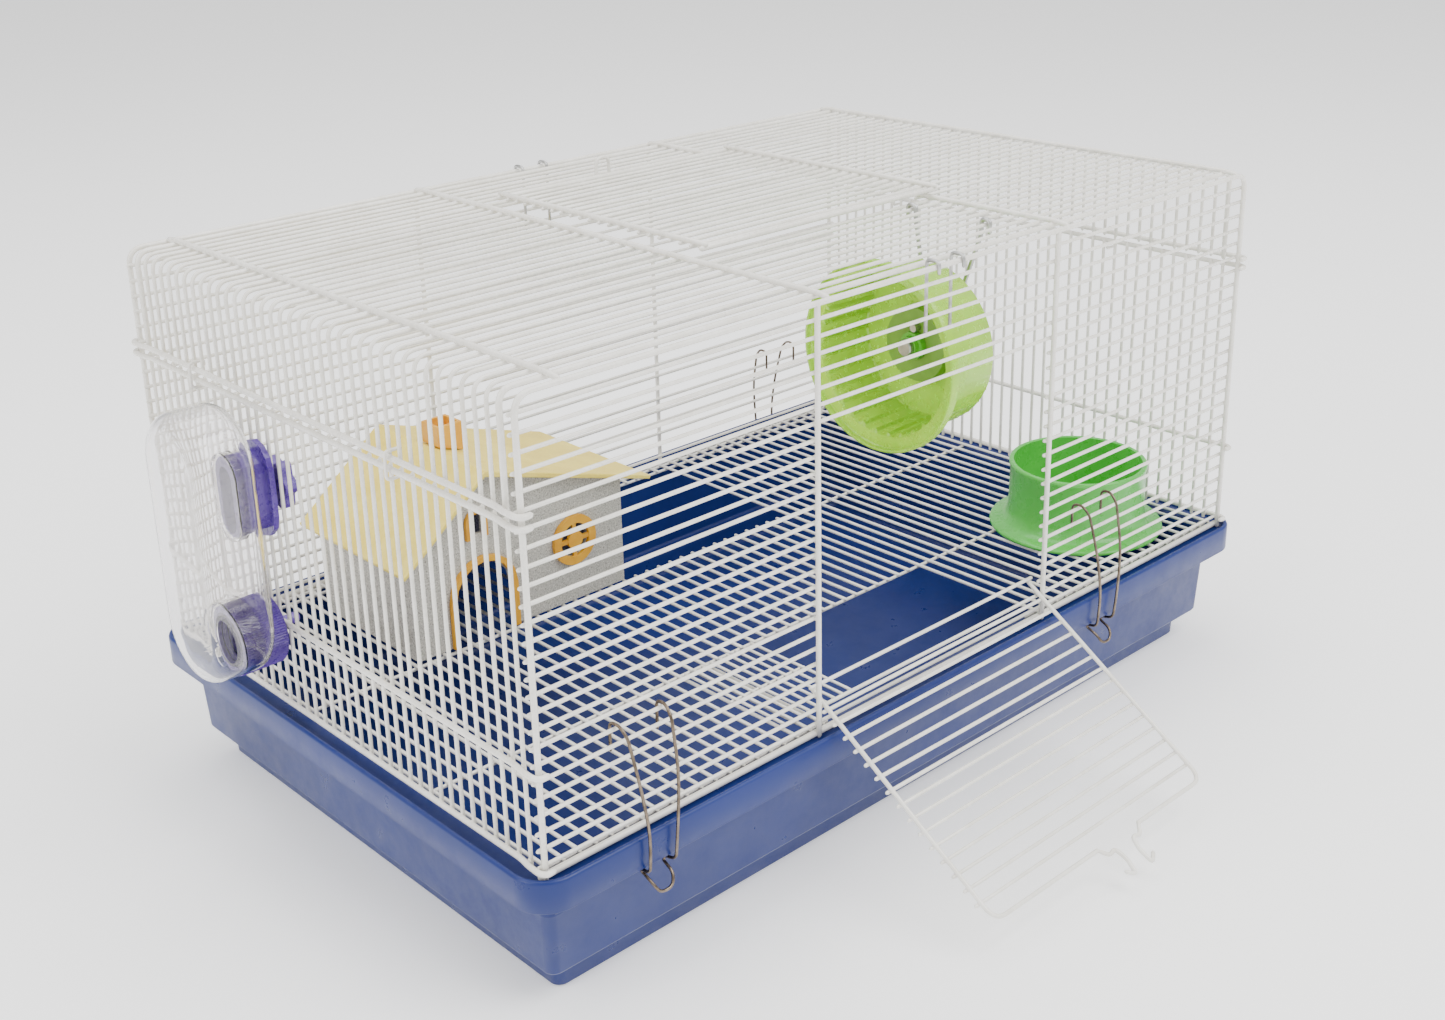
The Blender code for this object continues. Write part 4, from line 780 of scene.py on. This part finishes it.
def build_bowl():
    base = FLOOR_Z + WIRE + 0.0003
    wall = 0.0022
    profile = (
        (base + 0.0040, 0), (base + 0.0040, BOWL_CUP - 0.007), (base + 0.0030, BOWL_CUP - 0.003),
        (base + 0.0010, BOWL_CUP + 0.001), (base, BOWL_CUP + 0.004), (base, BOWL_FLANGE - 0.0014),
        (base + 0.0005, BOWL_FLANGE - 0.0003),
        (base + 0.0014, BOWL_FLANGE), (base + 0.0025, BOWL_FLANGE - 0.0004),
        (base + 0.0031, BOWL_FLANGE - 0.0016),
        (base + 0.0040, BOWL_CUP + 0.0070), (base + 0.0052, BOWL_CUP + 0.0038),
        (base + 0.0080, BOWL_CUP + 0.0016),
        (base + 0.0130, BOWL_CUP + 0.0006), (BOWL_HEIGHT - 0.0050, BOWL_CUP),
        (BOWL_HEIGHT - 0.0032, BOWL_CUP + 0.0008),
        (BOWL_HEIGHT - 0.0012, BOWL_CUP + 0.0010), (BOWL_HEIGHT - 0.0002, BOWL_CUP + 0.0002),
        (BOWL_HEIGHT, BOWL_CUP - 0.0010),
        (BOWL_HEIGHT - 0.0006, BOWL_CUP - wall), (base + 0.0150, BOWL_CUP - wall - 0.0008),
        (base + 0.0100, BOWL_CUP - wall - 0.0018), (base + 0.0076, BOWL_CUP - 0.0060),
        (base + 0.0064, BOWL_CUP - 0.0100),
        (base + 0.0064, 0),
    )
    bm = bmesh.new()
    turned(bm, profile, (*BOWL_CENTRE, 0.0), Z, 96)
    finish_piece("bowl_cup", bm, "bowl_green", "food_bowl", ["food_bowl"], 50)


# Bottle


def flat_capsule(bm, span, inset, edge, half_width, half_height, middle):
    """A flat body with round ends and rounded edges, from span[0] to span[1] along X."""
    bends = [math.radians(15 * step) for step in range(7)]
    near, far = span[0] + inset, span[1] - inset
    rings = [(near + edge * (1 - math.cos(bend)), edge * (1 - math.sin(bend))) for bend in bends]
    rings += [(far - edge * (1 - math.cos(bend)), edge * (1 - math.sin(bend))) for bend in reversed(bends)]
    loops = []
    for x, pull in rings:
        outline = stadium((BOTTLE_Y, middle), half_width - inset - pull, half_height - inset - pull)
        loops.append([(x, y, z) for y, z in outline])
    loft(bm, loops)


def loose_object(name, build):
    bm = bmesh.new()
    build(bm)
    bmesh.ops.recalc_face_normals(bm, faces=bm.faces)
    mesh = bpy.data.meshes.new(name)
    bm.to_mesh(mesh)
    bm.free()
    loose = bpy.data.objects.new(name, mesh)
    bpy.context.scene.collection.objects.link(loose)
    return loose


def boolean_object(target, helper, operation):
    """Cuts or joins a helper object and leaves only the result."""
    modifier = target.modifiers.new("cut", "BOOLEAN")
    modifier.solver = "EXACT"
    modifier.operation = operation
    modifier.object = helper
    bpy.context.view_layer.update()
    graph = bpy.context.evaluated_depsgraph_get()
    result = bpy.data.meshes.new_from_object(target.evaluated_get(graph))
    target.modifiers.clear()
    target.data = result
    bpy.data.objects.remove(helper)


def boolean_part(target, build, operation):
    boolean_object(target, loose_object("helper", build), operation)


def upright_prism(bm, outline, x0, x1):
    loft(bm, [[(x0, y, z) for y, z in outline], [(x1, y, z) for y, z in outline]])


def build_bottle():
    middle = sum(BOTTLE_Z) / 2
    half_height = (BOTTLE_Z[1] - BOTTLE_Z[0]) / 2
    wall = 0.0014
    half_width = BOTTLE_HALF_WIDTH
    bottle = loose_object(
        "bottle_body", lambda b: flat_capsule(b, BOTTLE_X, 0.0, 0.0085, half_width, half_height, middle))
    neck_axis = (0.0, CAP_Y, CAP_Z)
    seat = CAP_FRONT_X - 0.0008
    collar = CAP_RADIUS + 0.0008
    neck = [(seat - 0.0008, 0.0125), (seat - 0.0008, 0.0152)]
    for turn in range(4):
        at = seat + 0.0030 + turn * 0.0040
        neck += [(at, 0.0152), (at + 0.0008, 0.0161), (at + 0.0018, 0.0161), (at + 0.0026, 0.0152)]
    neck += [(-0.0085, 0.0152), (-0.0085, 0.0125)]
    eye_outer = stadium((HOLDER_Y, HOLDER_Z), 0.0128, 0.0248, 14)
    eye_inner = stadium((HOLDER_Y, HOLDER_Z), 0.0114, 0.0234, 14)
    mouth = ((seat - 0.006, 0), (seat - 0.006, 0.0127), (0.0, 0.0127), (0.0, 0))
    room = ((seat, 0), (seat, collar), (0.0, collar), (0.0, 0))
    wall_room = ((seat - wall, 0), (seat - wall, collar + wall), (0.002, collar + wall), (0.002, 0))
    void = loose_object(
        "bottle_void", lambda b: flat_capsule(b, BOTTLE_X, wall, 0.0075, half_width, half_height, middle))
    boolean_part(void, lambda b: upright_prism(b, eye_outer, HOLDER_FRONT_X - 0.0022, 0.01), "DIFFERENCE")
    boolean_part(void, lambda b: turned(b, wall_room, neck_axis, X, 64), "DIFFERENCE")
    boolean_object(bottle, void, "DIFFERENCE")
    boolean_part(bottle, lambda b: upright_prism(b, eye_inner, HOLDER_FRONT_X - 0.0008, 0.01), "DIFFERENCE")
    boolean_part(bottle, lambda b: turned(b, room, neck_axis, X, 64), "DIFFERENCE")
    boolean_part(bottle, lambda b: turned(b, neck, neck_axis, X, 64, closed=True), "UNION")
    boolean_part(bottle, lambda b: turned(b, mouth, neck_axis, X, 64), "DIFFERENCE")
    bm = bmesh.new()
    bm.from_mesh(bottle.data)
    bpy.data.objects.remove(bottle)
    finish_piece("bottle_clear_shell", bm, "clear_bottle", "bottle", ["bottle"], 40)


def build_cap():
    axis_point = (0.0, CAP_Y, CAP_Z)
    bore = 0.0034
    profile = ((CAP_FRONT_X, CAP_RADIUS - 0.0004), (CAP_FRONT_X + 0.0008, CAP_RADIUS), (-0.0058, CAP_RADIUS),
               (-0.0047, CAP_RADIUS - 0.0006), (-0.0042, CAP_RADIUS - 0.0016), (-0.0042, bore), (-0.0068, bore),
               (-0.0068, 0.0166), (CAP_FRONT_X, 0.0166))

    def ribs(index, step):
        return -0.0008 * math.cos(math.pi * step / 2) ** 2 if index in (1, 2) else 0.0

    bm = bmesh.new()
    turned(bm, profile, axis_point, X, 168, closed=True, ripple=ribs)
    finish_piece("cap_ribbed", bm, "purple_plastic", "bottle_cap", ["bottle_cap"], 40)


# CAD nodes that keep their own shape


def soften(node_name, width, segments=2):
    """Rounds a CAD node's edges a little when it is drawn."""
    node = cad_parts[node_name]
    weld = node.modifiers.new("weld", "WELD")
    weld.merge_threshold = 0.00002
    bevel = node.modifiers.new("edges", "BEVEL")
    bevel.width = width
    bevel.segments = segments
    bevel.limit_method = "ANGLE"
    bevel.angle_limit = math.radians(38)
    bevel.harden_normals = True


def dress_nodes():
    looks = {
        "wheel_hub": "hub_olive", "wheel_boss": "boss_green",
        "hub_pin": "grey_metal", "wheel_axle": "grey_metal",
        "house_body": "speckled_grey", "house_roof": "yellow_roof", "house_chimney": "amber_trim",
        "house_door_frame": "amber_trim", "house_gable_frame": "amber_trim", "house_ring_window": "amber_trim",
        "bottle_spout": "purple_plastic", "spout_ball": "bright_steel", "bottle_holder": "purple_plastic",
        "holder_nut": "purple_plastic",
    }
    for name, look in looks.items():
        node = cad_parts[name]
        node.data.materials.clear()
        node.data.materials.append(LOOKS[look])
    for name in ("house_body", "house_door_frame", "house_gable_frame", "house_ring_window"):
        soften(name, 0.0005)
    for name in ("house_roof", "house_chimney", "bottle_holder", "holder_nut"):
        soften(name, 0.0007, 3)


# Stage


def build_stage():
    mesh = bpy.data.meshes.new("studio_floor")
    reach = 14.0
    corners = [(-reach, -reach, 0), (reach, -reach, 0), (reach, reach, 0), (-reach, reach, 0)]
    mesh.from_pydata(corners, [], [(0, 1, 2, 3)])
    floor = bpy.data.objects.new("studio_floor", mesh)
    bpy.context.scene.collection.objects.link(floor)
    floor.location.z = cad_low.z - 0.0002
    material, _, _, shader = node_material("studio_white")
    shader.inputs["Base Color"].default_value = (0.93, 0.93, 0.93, 1)
    shader.inputs["Roughness"].default_value = 0.9
    shader.inputs["Emission Color"].default_value = (1.0, 1.0, 1.0, 1)
    shader.inputs["Emission Strength"].default_value = 0.35
    mesh.materials.append(material)
    world = bpy.data.worlds.new("studio")
    world.use_nodes = True
    world.node_tree.nodes["Background"].inputs["Color"].default_value = (1.0, 1.0, 1.0, 1)
    world.node_tree.nodes["Background"].inputs["Strength"].default_value = 0.95
    bpy.context.scene.world = world


def add_area(name, place, target, size, power):
    light = bpy.data.lights.new(name, "AREA")
    light.shape = "RECTANGLE"
    light.size, light.size_y = size
    light.energy = power
    lamp = bpy.data.objects.new(name, light)
    lamp.location = place
    lamp.rotation_mode = "QUATERNION"
    lamp.rotation_quaternion = (Vector(target) - Vector(place)).to_track_quat("-Z", "Y")
    bpy.context.scene.collection.objects.link(lamp)


def build_lights():
    aim = (0, 0, 0.1)
    add_area("key_softbox", (0.6, -1.6, 2.2), aim, (1.8, 1.8), 75)
    add_area("left_softbox", (-2.2, 0.2, 1.3), aim, (1.6, 1.6), 32)
    add_area("top_softbox", (0.0, 0.6, 2.6), aim, (2.4, 2.0), 50)


def build_camera():
    """The photograph's viewpoint: place, heading, tilt and roll, with a small vertical shift."""
    width, height = 1445, 1020
    focal, middle_y = 1746.4, 420.0
    heading, tilt, roll = math.radians(42.710), math.radians(-20.225), math.radians(-1.391)
    data = bpy.data.cameras.new("camera")
    data.sensor_width = 36.0
    data.lens = focal / width * data.sensor_width
    data.shift_y = (middle_y - height / 2) / width
    data.clip_end = 60
    camera = bpy.data.objects.new("camera", data)
    bpy.context.scene.collection.objects.link(camera)
    place = CORNER + Vector((-0.4099, -0.5772, 0.4846))
    turn = Matrix.Rotation(-heading, 4, "Z") @ Matrix.Rotation(math.pi / 2 + tilt, 4, "X")
    turn = turn @ Matrix.Rotation(roll, 4, "Z")
    camera.matrix_world = Matrix.Translation(place) @ turn
    bpy.context.scene.camera = camera


LOOKS = make_looks()
build_tray()
build_front_panel()
build_back_panel()
build_end_panel("left_end_wires", 0.0, -1, "left_panel")
build_end_panel("right_end_wires", LENGTH, 1, "right_panel")
build_roof()
build_hatch()
build_door()
build_floor()
build_ramp()
build_clips()
build_ties()
build_roof_hooks()
build_wheel()
build_bowl()
build_bottle()
build_cap()
dress_nodes()
build_stage()
build_lights()
build_camera()
